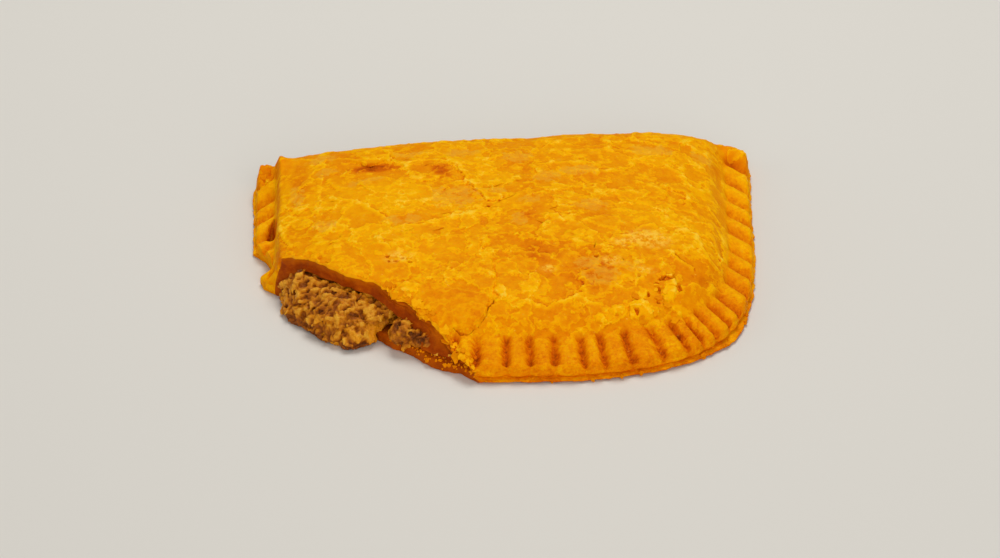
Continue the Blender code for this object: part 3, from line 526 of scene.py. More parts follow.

# %% Patches of colour
# Centre, half width, half depth. Tan ones are dull and dry, pale ones crumbly, red and deep ones
# took more heat, and yellow ones are freshly bared. The last deep one is painted shade instead.
PATCHES = {
    "tan": (
        ((-19.0, 19.5), 9.0, 7.0), ((2.7, 41.9), 5.5, 4.5), ((10.4, 28.4), 5.0, 4.5),
        ((3.7, 15.1), 4.0, 2.8), ((-4.6, 21.2), 4.6, 2.2), ((-0.5, 4.6), 3.0, 4.0),
        ((21.3, 10.3), 6.0, 3.4), ((-55.7, 42.9), 4.0, 3.0), ((-45.4, 33.0), 6.5, 2.6),
        ((-65.4, 33.1), 2.6, 8.0), ((-58.9, 10.5), 4.0, 4.0), ((-56.5, 52.3), 6.0, 3.4),
        ((-34.5, 7.9), 6.5, 3.6), ((20.7, 31.0), 6.5, 3.4), ((44.3, 44.5), 9.0, 4.0),
        ((20.1, -25.0), 6.5, 5.0), ((29.4, -21.9), 4.6, 3.0), ((-30.0, 48.0), 6.0, 3.0),
        ((-14.0, 46.0), 6.0, 3.4), ((60.0, 44.0), 4.0, 4.0), ((18.0, -20.0), 6.0, 4.0),
    ),
    "pale": (
        ((-38.5, -11.6), 4.2, 2.4), ((36.4, -8.4), 7.0, 4.6), ((29.0, -10.5), 4.0, 2.0),
        ((4.9, -21.4), 2.4, 1.6), ((24.0, -19.0), 3.0, 2.2), ((33.5, -23.5), 3.2, 1.3),
    ),
    "red": (
        ((1.8, 6.6), 3.2, 3.6),
        ((6.0, -12.0), 9.0, 7.0), ((-64.0, 40.0), 3.0, 10.0), ((18.0, -22.0), 8.0, 9.0),
    ),
    # The last deep patch, low on the dome's left side, is painted shade.
    "deep": (((-41.5, 41.4), 7.0, 2.8), ((-21.0, 36.0), 3.4, 4.5), ((-73.6, 29.0), 1.9, 5.0)),
    "yellow": (
        ((-4.5, 27.5), 7.5, 6.5), ((-30.0, -8.0), 12.0, 8.0), ((-42.0, 2.0), 12.0, 5.0),
        ((42.0, 40.0), 8.0, 6.0), ((-54.0, 12.0), 6.0, 8.0), ((40.0, 4.0), 12.0, 8.0),
        ((75.0, 18.0), 6.0, 40.0), ((-45.0, 22.0), 20.0, 12.0), ((-75.5, 55.0), 4.5, 9.0),
    ),
}
print(sum(len(patches) for patches in PATCHES.values()), "patches")

# %% Ragged outlines
# Width of a step, depth of cracks and holes, reach of a ledge and width of its bright strip.
STEP_WIDTH = 0.4
CRACK_DEPTH = 0.9
HOLE_DEPTH = 1.0
LEDGE_REACH = 5.5
# The bright strip is partly paler skin and partly painted highlight.
STRIP_WIDTH = 1.7


def resampled(corners, step, closed):
    """Evenly spaced points along a line through some corners."""
    corners = np.array(corners)
    if closed:
        corners = np.vstack([corners, corners[:1]])
    arc = arc_lengths(corners)
    count = max(2, round(arc[-1] / step))
    lengths = np.linspace(0.0, arc[-1], count + 1)
    return at_lengths(corners, arc, lengths[:-1] if closed else lengths)


def left_of(directions):
    """Unit vectors to the left of some plan directions."""
    units = directions / (np.linalg.norm(directions, axis=1)[:, None] + 1e-9)
    return np.stack([-units[:, 1], units[:, 0]], 1)


def sideways(line, closed):
    """Unit vectors to the left of a line, at each of its points."""
    if closed:
        return left_of(np.roll(line, -1, axis=0) - np.roll(line, 1, axis=0))
    return left_of(np.gradient(line, axis=0))


def ragged(line, closed, amount, seed):
    """The line with its points moved sideways by coarse and fine noise."""
    shift = wobble(line, 2.6, seed) + 0.7 * wobble(line, 1.1, seed + 3.0)
    return line + sideways(line, closed) * (amount * shift)[:, None]


def anticlockwise(corners):
    """The corners of an outline, turned about if they run clockwise."""
    corners = np.array(corners, float)
    ahead = np.roll(corners, -1, axis=0)
    area = (corners[:, 0] * ahead[:, 1] - ahead[:, 0] * corners[:, 1]).sum()
    return corners if area > 0 else corners[::-1]


def blob(centre, half_width, half_depth, seed):
    """An uneven round outline, anticlockwise."""
    angles = np.linspace(0.0, 2 * math.pi, 14, endpoint=False)
    corners = []
    for angle in angles:
        turned = Vector((math.cos(angle) * 1.4, math.sin(angle) * 1.4, seed))
        reach = 1.0 + 0.45 * noise.noise(turned)
        x = centre[0] + half_width * reach * math.cos(angle)
        corners.append((x, centre[1] + half_depth * reach * math.sin(angle)))
    return np.array(corners)


# %% Outlines of all marks
plate_lines = []
for index, (corners, lift, tone) in enumerate(PLATES):
    line = ragged(resampled(anticlockwise(corners), 0.45, True), True, 0.75, index + 1.0)
    plate_lines.append((line, lift, tone))
hole_lines = []
for index, (centre, half_width, half_depth) in enumerate(HOLES):
    line = resampled(blob(centre, half_width, half_depth, index), 0.4, True)
    hole_lines.append(ragged(line, True, 0.25, index + 31.0))
crack_lines = []
for index, (corners, width) in enumerate(CRACKS):
    line = ragged(resampled(corners, 0.4, False), False, 0.45, index + 61.0)
    crack_lines.append((line, width))
ledge_lines = []
for index, (corners, rise) in enumerate(LEDGES):
    line = ragged(resampled(corners, 0.45, False), False, 0.9, index + 91.0)
    ledge_lines.append((line, rise))
print("longest plate edge:", max(len(line) for line, _, _ in plate_lines), "points")

# %% Distances to the marks


def inside_polygon(points, polygon):
    """Whether each point lies inside a closed outline, by counting the edges beside it."""
    x, y = points[:, 0], points[:, 1]
    inside = np.zeros(len(points), bool)
    before = polygon[-1]
    for corner in polygon:
        crosses = (corner[1] > y) != (before[1] > y)
        slope = (before[0] - corner[0]) / (before[1] - corner[1] + 1e-12)
        inside ^= crosses & (x < corner[0] + slope * (y - corner[1]))
        before = corner
    return inside


def line_gaps(points, line, closed, reach):
    """For each point: distance to a line, share along it, and whether it lies on its left.
    Points further away than the reach get the reach."""
    gaps = np.full(len(points), reach)
    share = np.zeros(len(points))
    left = np.zeros(len(points), bool)
    low, high = line.min(axis=0) - reach, line.max(axis=0) + reach
    near = np.flatnonzero(((points >= low) & (points <= high)).all(axis=1))
    ends = np.roll(line, -1, axis=0) if closed else line[1:]
    starts = line if closed else line[:-1]
    for index, (start, end) in enumerate(zip(starts, ends)):
        run = end - start
        local = points[near] - start
        along = np.clip((local @ run) / (run @ run + 1e-12), 0.0, 1.0)
        gap = np.linalg.norm(local - along[:, None] * run, axis=1)
        closer = gap < gaps[near]
        gaps[near[closer]] = gap[closer]
        share[near[closer]] = (index + along[closer]) / len(starts)
        left[near[closer]] = (run[0] * local[:, 1] - run[1] * local[:, 0])[closer] > 0
    return gaps, share, left


# %% Shares of cracks and patches


def crack_half(width, share):
    """Half a crack's width at a share of its length, narrow at both ends."""
    return 0.5 * width * (0.35 + 0.65 * np.sin(math.pi * share))


def crack_share(points, line, width):
    """1 along the middle of a crack, 0 at its lips."""
    gaps, share, _ = line_gaps(points, line, False, width)
    return np.clip(1.0 - gaps / crack_half(width, share), 0.0, 1.0)


def patch_share(points, patches):
    """1 in the middle of soft round patches, easing to 0 outside them."""
    total = np.zeros(len(points))
    for centre, half_width, half_depth in patches:
        x = (points[:, 0] - centre[0]) / half_width
        y = (points[:, 1] - centre[1]) / half_depth
        total = np.maximum(total, 1.0 - smoothstep((np.hypot(x, y) - 0.45) / 0.9))
    return total


# %% What the marks do at each point


def marks(points):
    """What the marks do at each plan point: height, tone, painted shade in the cracks and the patches'
    shares.
    """
    lift = np.zeros(len(points))
    tone = np.zeros(len(points))
    dark = np.zeros(len(points))
    plain = np.zeros(len(points))
    for line, rise, shade in plate_lines:
        gaps, _, _ = line_gaps(points, line, True, STRIP_WIDTH)
        inside = inside_polygon(points, line)
        lift += rise * inside * np.clip(gaps / STEP_WIDTH, 0.0, 1.0)
        # Inside each plate's edge a bright strip: paler thin skin and a painted highlight on the step.
        strip = np.maximum(shade, 0.9 - 1.8 * gaps / STRIP_WIDTH)
        tone = np.where(inside, strip, tone)
        plain = np.maximum(plain, inside * (shade < 0.0))
    for line, rise in ledge_lines:
        gaps, share, raised = line_gaps(points, line, False, LEDGE_REACH)
        strength = smoothstep(np.minimum(share, 1.0 - share) / 0.14)
        fall = strength * (1.0 - smoothstep(gaps / LEDGE_REACH)) * raised
        lift += rise * fall * np.clip(gaps / STEP_WIDTH, 0.0, 1.0)
        # The raised side gets the same bright strip, paler skin and painted highlight, and the low side a
        # painted shadow.
        strip = strength * raised * (1.0 - smoothstep((gaps - 0.4) / STRIP_WIDTH))
        tone += (1.0 - tone) * strip * min(1.0, rise / 0.4)
        shadow = strength * ~raised * np.clip(1.0 - gaps / 0.5, 0.0, 1.0)
        tone -= 2.0 * rise * shadow
    # Holes are dented and painted a deep red-brown: the dough beneath, and painted shade in the hollow.
    for line in hole_lines:
        gaps, _, _ = line_gaps(points, line, True, STEP_WIDTH)
        share = inside_polygon(points, line) * gaps / STEP_WIDTH
        lift -= HOLE_DEPTH * share
        tone -= 2.0 * smoothstep(share)
    # Each crack is dented and painted dark down its middle, a painted shade in the narrow gap.
    for line, width in crack_lines:
        share = crack_share(points, line, width)
        lift -= CRACK_DEPTH * share
        tone -= 1.2 * smoothstep(share)
        dark = np.maximum(dark, smoothstep((share - 0.3) / 0.6))
    found = {"lift": lift, "tone": tone, "dark": dark, "plain": plain}
    for name, patches in PATCHES.items():
        found[name] = patch_share(points, patches)
    return found


# %% [markdown]
# ## One closed shell for the crust
# The upper skin is a triangulation in plan, with a corner every half millimetre and extra
# ones along each plate's edge, lifted to its height. The rim is a loft of rings that runs
# over the two sheets' edges, or round the fold at the back. A remesh would blur the cracks,
# and a plain grid would saw-tooth them.

# %% Outline in plan and its stations
# Steps between points: on the crimped rim, on the fold, where the cut takes the rim away, and
# on the skin. The cut's line runs through its start, square to the way it faces.
RIM_STEP = 0.62
FOLD_STEP = 0.9
HIDDEN_STEP = 3.0
SKIN_STEP = 0.52
CUT_OUTWARD = np.array((-0.7245, -0.689))
CUT_START = np.array((-71.4, 1.2))
CUT_MARGIN = 8.0
CUT_END_Y = 8.6


def is_cut_away(points, margin):
    """Whether plan points lie well inside the corner that the cut removes."""
    points = np.atleast_2d(points)
    return ((points - CUT_START) @ CUT_OUTWARD > margin) & (points[:, 1] < CUT_END_Y)


def plan_loop():
    """The whole outline in plan, anticlockwise from the fold's left end, corners rounded."""
    left = np.array((RIM[0, 0] + LEFT_CORNER, RIM[0, 1] - LEFT_CORNER))
    right = np.array((RIM[-1, 0] - RIGHT_CORNER, RIM[-1, 1] - RIGHT_CORNER))
    level = np.where(RIM[:, 0] < 0.0, left[1], right[1])
    keep = RIM[RIM[:, 1] < level]
    turns = np.linspace(0.0, math.pi / 2, 12)
    right_arc = right + RIGHT_CORNER * np.stack([np.cos(turns), np.sin(turns)], 1)
    left_arc = left + LEFT_CORNER * np.stack([-np.sin(turns), np.cos(turns)], 1)
    across = np.linspace(right[0], left[0], 80)[1:-1]
    fold = np.column_stack([across, fold_line(across)])
    return np.vstack([keep, right_arc, fold, left_arc, keep[:1]])


def loop_stations():
    """Points along the outline, the way inwards there, and how far each is on the fold."""
    loop = plan_loop()
    arc = arc_lengths(loop)
    places = []
    place = 0.0
    while place < arc[-1] - 0.4 * RIM_STEP:
        places.append(place)
        point = at_lengths(loop, arc, [place])[0]
        if is_cut_away(point, CUT_MARGIN)[0]:
            place += HIDDEN_STEP
        elif point[1] > FOLD_Y - 1.0 and abs(point[0]) < HALF_WIDTH - 6.0:
            place += FOLD_STEP
        else:
            place += RIM_STEP
    places = np.array(places)
    ahead = at_lengths(loop, arc, (places + 0.5) % arc[-1])
    inward = left_of(ahead - at_lengths(loop, arc, (places - 0.5) % arc[-1]))
    fold = smoothstep((-0.15 - inward[:, 1]) / 0.75)
    return at_lengths(loop, arc, places), inward, fold


# %% Where the fork pressed
# Widths from one groove to the next, measured along the rim. The last three rows say where
# the sides begin and end, and how far their crimps lean over and slant there.
FIRST_CRIMP = -3.0
LAST_CRIMP = 3.0
LEFT_LOBES = (15.0, 9.5, 8.5, 12.0)
FRONT_PITCH = 7.5
CORNER_START = 208.0
CORNER_LOBES = (10.0, 8.5, 5.6, 5.6, 7.4, 6.6)
RIGHT_PITCH = 10.2
SIDE_STOPS = (60.0, 100.0, 225.0, 262.0)
CRIMP_LEANS = (-1.0, 0.0, 0.0, 1.0)
CRIMP_SLANTS = (0.45, 0.0, 0.0, -0.5)


def groove_places():
    """Where the grooves cross the rim, measured along it from the fold's left end."""
    places = [FIRST_CRIMP]
    for width in LEFT_LOBES:
        places.append(places[-1] + width)
    count = round((CORNER_START - places[-1]) / FRONT_PITCH)
    pitch = (CORNER_START - places[-1]) / count
    for index in range(count):
        uneven = 0.9 * math.sin(2.4 * index) if index < count - 1 else 0.0
        places.append(CORNER_START - (count - 1 - index) * pitch + uneven)
    for width in CORNER_LOBES:
        places.append(places[-1] + width)
    start = places[-1]
    left_over = RIM_LENGTH + LAST_CRIMP - start
    count = round(left_over / RIGHT_PITCH)
    for index in range(count):
        uneven = 0.7 * math.sin(1.9 * index + 1.0) if index < count - 1 else 0.0
        places.append(start + (index + 1) * left_over / count + uneven)
    return np.array(places)


GROOVES = groove_places()


def crimp_share(along, depth):
    """From 0 at one groove to 1 at the next, leaning like shingles at the two sides."""
    slant = np.interp(along, SIDE_STOPS, CRIMP_SLANTS)
    phase = np.interp(along + slant * depth, GROOVES, np.arange(len(GROOVES)))
    share = phase - np.floor(phase)
    lean = np.interp(along, SIDE_STOPS, CRIMP_LEANS)
    share += np.maximum(-lean, 0.0) * (share ** 0.6 - share)
    share += np.maximum(lean, 0.0) * (1.0 - (1.0 - share) ** 0.6 - share)
    return share


print(len(GROOVES) - 1, "crimps")

# %% Rings over the edge
# The upper sheet's lip draws in at each groove. The next three are humps along the rim:
# place, half width and reach.
LIP_SWELL = 0.8
SKIRT = (243.0, 9.0, 1.2)
CORNER_BULGE = (9.0, 6.0, 0.5)
CORNER_ROUND = (0.0, 3.0, 1.2)
RING_TURNS = np.radians((-90.0, -58.0, -36.0, -15.0, 6.0, 27.0, 44.0, 60.0, 75.0))


def evened(ring, weight, passes):
    """A closed ring with its points spaced more evenly where the weight is near 1."""
    for _ in range(passes):
        middle = (np.roll(ring, 1, axis=0) + np.roll(ring, -1, axis=0)) / 2
        ring = ring + (middle - ring) * 0.5 * weight[:, None]
    return ring


def edge_rings(points, inward, fold):
    """Rings from the underside, over the two sheets' edges or the round fold, to the top."""
    depth, along = nearest_rim(points)
    lobe = np.sin(math.pi * crimp_share(along, np.zeros(len(along))))
    torn = 0.45 * wobble(points, 3.1, 5.0) + 0.35 * wobble(points, 9.0, 6.0)
    torn += 0.3 * wobble(points, 1.2, 15.0)
    bulge = hump(along, CORNER_BULGE) - hump(along, CORNER_ROUND)
    sheet = torn - hump(along, SKIRT) - bulge
    lip = LIP_SWELL * (1.0 - lobe) + 0.16 * wobble(points, 1.4, 17.0) - bulge
    nothing = np.zeros(len(points))
    profile = (
        (2.4 + nothing, 0.0), (sheet + 0.5, 0.15), (sheet, 0.55), (sheet + 0.4, 0.95),
        (1.9 + nothing, 1.25), (lip + 0.8, 1.75), (lip + 0.5, 2.8), (lip + 1.5, None),
        (3.2 + nothing, None),
    )
    behind = np.column_stack([points[:, 0] + inward[:, 0] * 3.0, points[:, 1] - 9.0])
    fold_height = dome_height(points + inward * 8.0) * (1 - fold) + dome_height(behind) * fold
    radius = fold_radius(fold_height)
    to_corner = [np.linalg.norm(points - corner, axis=1) for corner in (RIM[0], RIM[-1])]
    near_corner = hump(np.minimum(*to_corner), (0.0, CORNER_REACH, 1.0))
    rings = []
    for (offset, level), turn in zip(profile, RING_TURNS):
        round_level = fold_height * 0.5 * (1.0 + math.sin(turn))
        mixed = offset * (1 - fold) + radius * (1.0 - math.cos(turn)) * fold
        upward = max(math.sin(turn), 0.0)
        plan = evened(points + inward * mixed[:, None], near_corner * upward, 40)
        top = dome_height(plan)
        rim_level = top if level is None else np.minimum(level, top - 0.2)
        height = rim_level * (1 - fold) + round_level * fold
        if turn == RING_TURNS[-1]:
            height = top
        rings.append(np.column_stack([plan, height]))
    return rings


# %% More rings between them


def between(rings, parts):
    """Adds rings between each two, on a smooth curve through them."""
    padded = [2 * rings[0] - rings[1], *rings, 2 * rings[-1] - rings[-2]]
    finer = []
    for index in range(len(rings) - 1):
        before, start, end, after = padded[index:index + 4]
        for part in range(parts):
            t = part / parts
            square = 2 * before - 5 * start + 4 * end - after
            cube = 3 * start - before - 3 * end + after
            finer.append(start + 0.5 * ((end - before) * t + square * t ** 2 + cube * t ** 3))
    return finer + [rings[-1]]


# %% The upper skin


def spread_points(polygon, step):
    """Staggered rows of points inside a plan polygon, clear of its edge."""
    low, high = polygon.min(axis=0), polygon.max(axis=0)
    rows = []
    for row, y in enumerate(np.arange(low[1], high[1], step * 0.866)):
        xs = np.arange(low[0] + (row % 2) * step / 2, high[0], step)
        rows.append(np.column_stack([xs, np.full(len(xs), y)]))
    found = np.vstack(rows)
    found = found[inside_polygon(found, polygon)]
    gaps = line_gaps(found, polygon, True, step)[0]
    return found[gaps > step * 0.5]


def constraint_lines():
    """Plan lines that the skin's mesh keeps: both edges of a step, both lips of a crack."""
    lines = []
    for line in [line for line, _, _ in plate_lines] + hole_lines:
        lines.append((line, True))
        lines.append((line + sideways(line, True) * STEP_WIDTH, True))
    for line, _ in ledge_lines:
        lines.append((line, False))
        lines.append((line + sideways(line, False) * STEP_WIDTH, False))
    for line, width in crack_lines:
        taper = crack_half(width, np.linspace(0.0, 1.0, len(line)))
        for side in (-1.0, 0.0, 1.0):
            lines.append((line + sideways(line, False) * (side * taper)[:, None], False))
    return lines


# %% Triangles of the skin


def loop_edges(count):
    """The edges of a closed line with so many points."""
    return [(index, (index + 1) % count) for index in range(count)]


def triangulated(plan, edges, outline):
    """Triangles over plan points that keep some edges, inside an outline. Gives the points,
    the triangles, and which of the first points each point came from."""
    result = delaunay_2d_cdt([Vector(point) for point in plan], edges, [], 1, 1e-5, True)
    places = np.array([tuple(place) for place in result[0]])
    triangles = np.array(result[2])
    kept = inside_polygon(places[triangles].mean(axis=1), outline)
    return places, triangles[kept], result[3]


def skin_triangles(edge_loop):
    """Plan points inside the last ring, the triangles over them, and each one's ring point."""
    plan = [edge_loop]
    total = len(edge_loop)
    edges = loop_edges(total)
    marks_at = []
    for line, closed in constraint_lines():
        kept = inside_polygon(line, edge_loop) & ~is_cut_away(line, CUT_MARGIN - 2.0)
        marks_at.append(line[kept])
        if not kept.all():
            continue
        plan.append(line)
        count = len(line)
        edges += [(total + index, total + index + 1) for index in range(count - 1)]
        if closed:
            edges.append((total + count - 1, total))
        total += count
    loose = spread_points(edge_loop, SKIN_STEP)
    loose = loose[~is_cut_away(loose, 3.0)]
    coarse = spread_points(edge_loop, 3.0)
    coarse = coarse[is_cut_away(coarse, 5.0)]
    marked = np.vstack(marks_at)
    cells = {(int(x), int(y)) for x, y in np.floor(marked / 0.3)}
    free = [(int(x), int(y)) not in cells for x, y in np.floor(loose / 0.3)]
    plan += [loose[free], coarse]
    places, triangles, sources = triangulated(np.vstack(plan), edges, edge_loop)
    ring_index = [next((i for i in source if i < len(edge_loop)), -1) for source in sources]
    return places, triangles, np.array(ring_index)


# %% Meshes from points


@contextmanager
def editing(mesh):
    """A mesh opened for editing, and written back at the end."""
    work = bmesh.new()
    work.from_mesh(mesh)
    yield work
    work.to_mesh(mesh)
    work.free()


def mesh_from(name, points, faces):
    """A mesh from points in plan millimetres, moved to the part's origin, in metres."""
    made = bpy.data.meshes.new(name)
    made.from_pydata([tuple(p) for p in (np.asarray(points, float) - CENTRE) * MM], [], faces)
    made.validate()
    with editing(made) as work:
        bmesh.ops.triangulate(work, faces=work.faces)
        bmesh.ops.recalc_face_normals(work, faces=work.faces)
    return made


def ring_faces(count, levels):
    """Faces between closed rings of points that lie one above the other."""
    faces = []
    for level in range(levels - 1):
        for index in range(count):
            after = (index + 1) % count
            low, high = level * count, (level + 1) * count
            faces.append((low + index, low + after, high + after, high + index))
    return faces


def skin_height(points):
    """Height of the skin with its plates, ledges, cracks and holes."""
    return dome_height(points) + marks(points)["lift"]


# %% Join rings and skin
stations = loop_stations()
rings = edge_rings(*stations)
inner_foot = rings[0] + np.column_stack([stations[1] * 2.0, np.zeros(len(rings[0]))])
rings = [inner_foot] + between(rings, 2)
count = len(rings[0])
places, triangles, ring_index = skin_triangles(rings[-1][:, :2])
shell_points = np.vstack([*rings, np.column_stack([places, skin_height(places)])])
first_skin = count * len(rings)
new_index = first_skin + np.arange(len(places))
index_of = np.where(ring_index >= 0, first_skin - count + ring_index, new_index)
shell_faces = ring_faces(count, len(rings))
shell_faces.append(tuple(range(count - 1, -1, -1)))
shell_faces += [tuple(int(index_of[corner]) for corner in triangle) for triangle in triangles]
crust = placed("golden_crust", mesh_from("crust_shell", shell_points, shell_faces))


def loose_clean(mesh):
    """Removes points without faces and counts the edges that don't join two faces."""
    with editing(mesh) as work:
        bmesh.ops.delete(work, geom=[v for v in work.verts if not v.link_faces], context="VERTS")
        return sum(1 for edge in work.edges if len(edge.link_faces) != 2)


print("shell:", len(crust.data.polygons), "faces,", loose_clean(crust.data), "open edges")

# %% [markdown]
# ## The torn corner
# One corner has been pulled and cut away. The cutter is a block whose inner wall follows the
# tear. Its rows lie at fixed depths below the skin, so that the thin outer skin can stand out
# past the softer dough in tabs, and the sheets under it can end at different places, as they
# do on flaky dough. A straight cut with a bumpy material would show no thickness.

# %% Path of the tear
# The tear in plan, at the skin and at the lower sheet, from the left side to the front. Both
# have as many points, and each point stands over its partner.
CUT_TOP = (
    (-86.0, 28.0), (-80.2, 24.4), (-77.2, 19.8), (-74.9, 12.8), (-74.3, 8.6), (-73.9, 6.2),
    (-73.3, 4.2), (-71.9, 1.6), (-63.4, -5.0), (-54.6, -16.0), (-46.3, -20.5), (-38.9, -28.6),
    (-33.4, -34.4), (-27.4, -42.5), (-23.2, -49.5), (-18.8, -56.0), (-14.0, -68.0),
)
CUT_LOW = (
    (-86.0, 28.0), (-80.2, 24.0), (-76.6, 18.6), (-73.4, 11.2), (-76.0, 8.6), (-78.6, 6.6),
    (-77.3, 2.4), (-73.6, -1.2), (-66.0, -7.4), (-56.0, -17.3), (-49.9, -23.9), (-42.0, -34.3),
    (-36.6, -38.9), (-32.0, -45.5), (-23.8, -50.1), (-17.6, -57.2), (-13.0, -68.0),
)
CUT_ALONG = np.array((-CUT_OUTWARD[1], CUT_OUTWARD[0]))
CUT_LOW_Z = 2.0
CUT_ROUGHNESS = 0.42
CUT_STEP = 0.45
SKIN_THICKNESS = 0.75
SKIN_TAB = 1.1
LAYER_PITCH = 1.0
LAYER_REACH = 1.1
SPLIT_HEIGHT = 3.1
SPLIT_DEPTH = 2.2


# %% Points along the tear


def cut_place(points):
    """How far plan points lie out of the cut's line, and how far along it."""
    local = points[:, :2] - CUT_START
    return local @ CUT_OUTWARD, local @ CUT_ALONG


def matched_path(corners, other, step):
    """Points along a path of corners, as many between two corners as the longer path needs."""
    corners, other = np.array(corners), np.array(other)
    shares = [0.0]
    for index in range(len(corners) - 1):
        longest = max(
            np.linalg.norm(corners[index + 1] - corners[index]),
            np.linalg.norm(other[index + 1] - other[index]),
        )
        parts = max(1, round(longest / step))
        shares += [index + (part + 1) / parts for part in range(parts)]
    keys = np.arange(len(corners))
    return np.stack([np.interp(shares, keys, corners[:, axis]) for axis in (0, 1)], 1)


def tear_wall(low, top, levels, crest):
    """Plan places of the tear at one height for each pair of path points."""
    share = smoothstep((levels - CUT_LOW_Z) / (crest - CUT_LOW_Z))
    wall = low + (top - low) * share[:, None]
    places = np.column_stack([wall, levels])
    shift = CUT_ROUGHNESS * (wobble(places, 2.3, 4.0) + 0.6 * wobble(places, 6.0, 8.0))
    return wall - shift[:, None] * CUT_OUTWARD


def window(values, start, end, ease):
    """1 between two places, easing to 0 outside them."""
    return smoothstep((values - start) / ease + 0.5) * smoothstep((end - values) / ease + 0.5)


# %% The cutter
low_path = matched_path(CUT_LOW, CUT_TOP, CUT_STEP)
top_path = matched_path(CUT_TOP, CUT_LOW, CUT_STEP)
crest = dome_height(top_path)
tear_along = cut_place(top_path)[1]
line_places = np.column_stack([tear_along, np.zeros(len(tear_along))])
# The skin stands out in uneven tabs, most of all on the two flaky stretches of the tear.
tabs = 0.35 + 0.9 * wobble(line_places, 5.5, 21.0) + 0.5 * wobble(line_places, 1.7, 27.0)
flaky = np.maximum(window(tear_along, 36.0, 58.0, 5.0), window(tear_along, 62.0, 76.0, 5.0))
tabs = SKIN_TAB * np.clip(tabs, 0.0, 1.3) * smoothstep((tear_along + 1.0) / 3.0)
tabs *= 0.35 + 1.5 * flaky
tabs += hump(tear_along, (-0.6, 1.3, 1.2))
# Towards the front the two sheets part, which leaves a dark split above the lower one.
split = window(tear_along, 46.0, 73.0, 4.0) * (0.7 + 0.6 * wobble(line_places, 3.0, 33.0))

CUTTER_TOP = 30.0
CUTTER_FLOOR = -2.0
SKIN_ROWS = (-0.5, -0.1, 0.1, 0.3, 0.5, 0.65, 0.8)
DOUGH_ROWS = (*np.arange(1.0, 5.1, 0.25), *np.arange(5.5, 8.1, 0.5))
row_levels = [np.full(len(low_path), CUTTER_TOP)]
row_levels += [crest - row_depth for row_depth in (*SKIN_ROWS, *DOUGH_ROWS)]
lowest = row_levels[-1]
for share in np.arange(1, 25) / 24:
    row_levels.append(lowest * (1 - share) + CUTTER_FLOOR * share)

FAR_CORNERS = [(-12.0, -90.0), (-110.0, -90.0), (-110.0, 30.0)]
# Each row runs along the wall: out past it where a tab or a layer stands, back in a gap.
cutter_points = []
for levels in row_levels:
    below = crest - levels
    out = tabs * (1.0 - smoothstep((below - SKIN_THICKNESS + 0.1) / 0.25))
    layer = np.floor(np.maximum(below - 0.9, 0.0) / LAYER_PITCH)
    in_layer = np.maximum(below - 0.9, 0.0) / LAYER_PITCH - layer
    stands_out = 0.35 + 1.3 * wobble(np.column_stack([tear_along / 4.5, layer * 3.7]), 1.0, 12.0)
    gap = np.exp(-((in_layer / 0.2) ** 2))
    inside = smoothstep((below - 0.8) / 0.2) * (1.0 - smoothstep((below - 1.6) / 1.6))
    out += LAYER_REACH * (0.08 + 0.92 * flaky) * inside * (stands_out - 0.8 * gap)
    out -= SPLIT_DEPTH * split * np.exp(-(((levels - SPLIT_HEIGHT) / 0.6) ** 2))
    grain_places = np.column_stack([tear_along, below, np.zeros(len(below))])
    out += 0.09 * wobble(grain_places, 0.9, 14.0) + 0.25 * wobble(grain_places, 4.0, 24.0)
    wall = tear_wall(low_path, top_path, levels, crest) + out[:, None] * CUT_OUTWARD
    cutter_points += [(x, y, z) for (x, y), z in zip(wall, levels)]
    cutter_points += [(x, y, levels[0]) for x, y in FAR_CORNERS]
cutter_width = len(low_path) + len(FAR_CORNERS)
cutter_faces = ring_faces(cutter_width, len(row_levels))
cutter_faces.append(tuple(range(cutter_width - 1, -1, -1)))
last_row = (len(row_levels) - 1) * cutter_width
cutter_faces.append(tuple(range(last_row, last_row + cutter_width)))
cutter = placed("torn_corner", mesh_from("torn_corner", cutter_points, cutter_faces))
print("cutter:", len(cutter.data.polygons), "faces,", loose_clean(cutter.data), "open edges")

# %% The hollow for the filling
TOP_DOUGH = 4.2
BOTTOM_DOUGH = 3.2
CORE_STEP = 5.0


def hollow_points():
    """The lens-shaped hollow inside the crust: its points in plan millimetres and its faces."""
    samples = np.linspace(0.0, RIM_LENGTH, 120)
    edge = at_lengths(RIM, RIM_ARC, samples)
    ahead = at_lengths(RIM, RIM_ARC, samples + 1.0)
    inward = left_of(ahead - at_lengths(RIM, RIM_ARC, samples - 1.0))
    ring = edge + inward * (section_numbers(samples)[:, BAND] + 1.8)[:, None]
    ring = ring[ring[:, 1] < FOLD_Y - 8.0]
    back = np.linspace(ring[-1, 0], ring[0, 0], 40)[1:-1]
    ring = np.vstack([ring, np.column_stack([back, np.full(len(back), FOLD_Y - 7.0)])])
    plan = np.vstack([ring, spread_points(ring, CORE_STEP)])
    spots, parts, sources = triangulated(plan, loop_edges(len(ring)), ring)
    on_edge = np.array([any(item < len(ring) for item in source) for source in sources])
    parts = parts[~on_edge[parts].all(axis=1)]
    roof = np.maximum(dome_height(spots) - TOP_DOUGH, BOTTOM_DOUGH + 0.25)
    upper = np.where(on_edge, (roof + BOTTOM_DOUGH) / 2, roof)
    points = [(x, y, z) for (x, y), z in zip(spots, upper)]
    lower_of = np.arange(len(spots))
    for index in np.flatnonzero(~on_edge):
        lower_of[index] = len(points)
        points.append((*spots[index], BOTTOM_DOUGH))
    faces = [tuple(int(corner) for corner in part) for part in parts]
    faces += [tuple(int(lower_of[corner]) for corner in part[::-1]) for part in parts]
    return points, faces


hollow = placed("hollow", mesh_from("hollow", *hollow_points()))
print("hollow:", len(hollow.data.polygons), "faces,", loose_clean(hollow.data), "open edges")

# %% Carve the crust


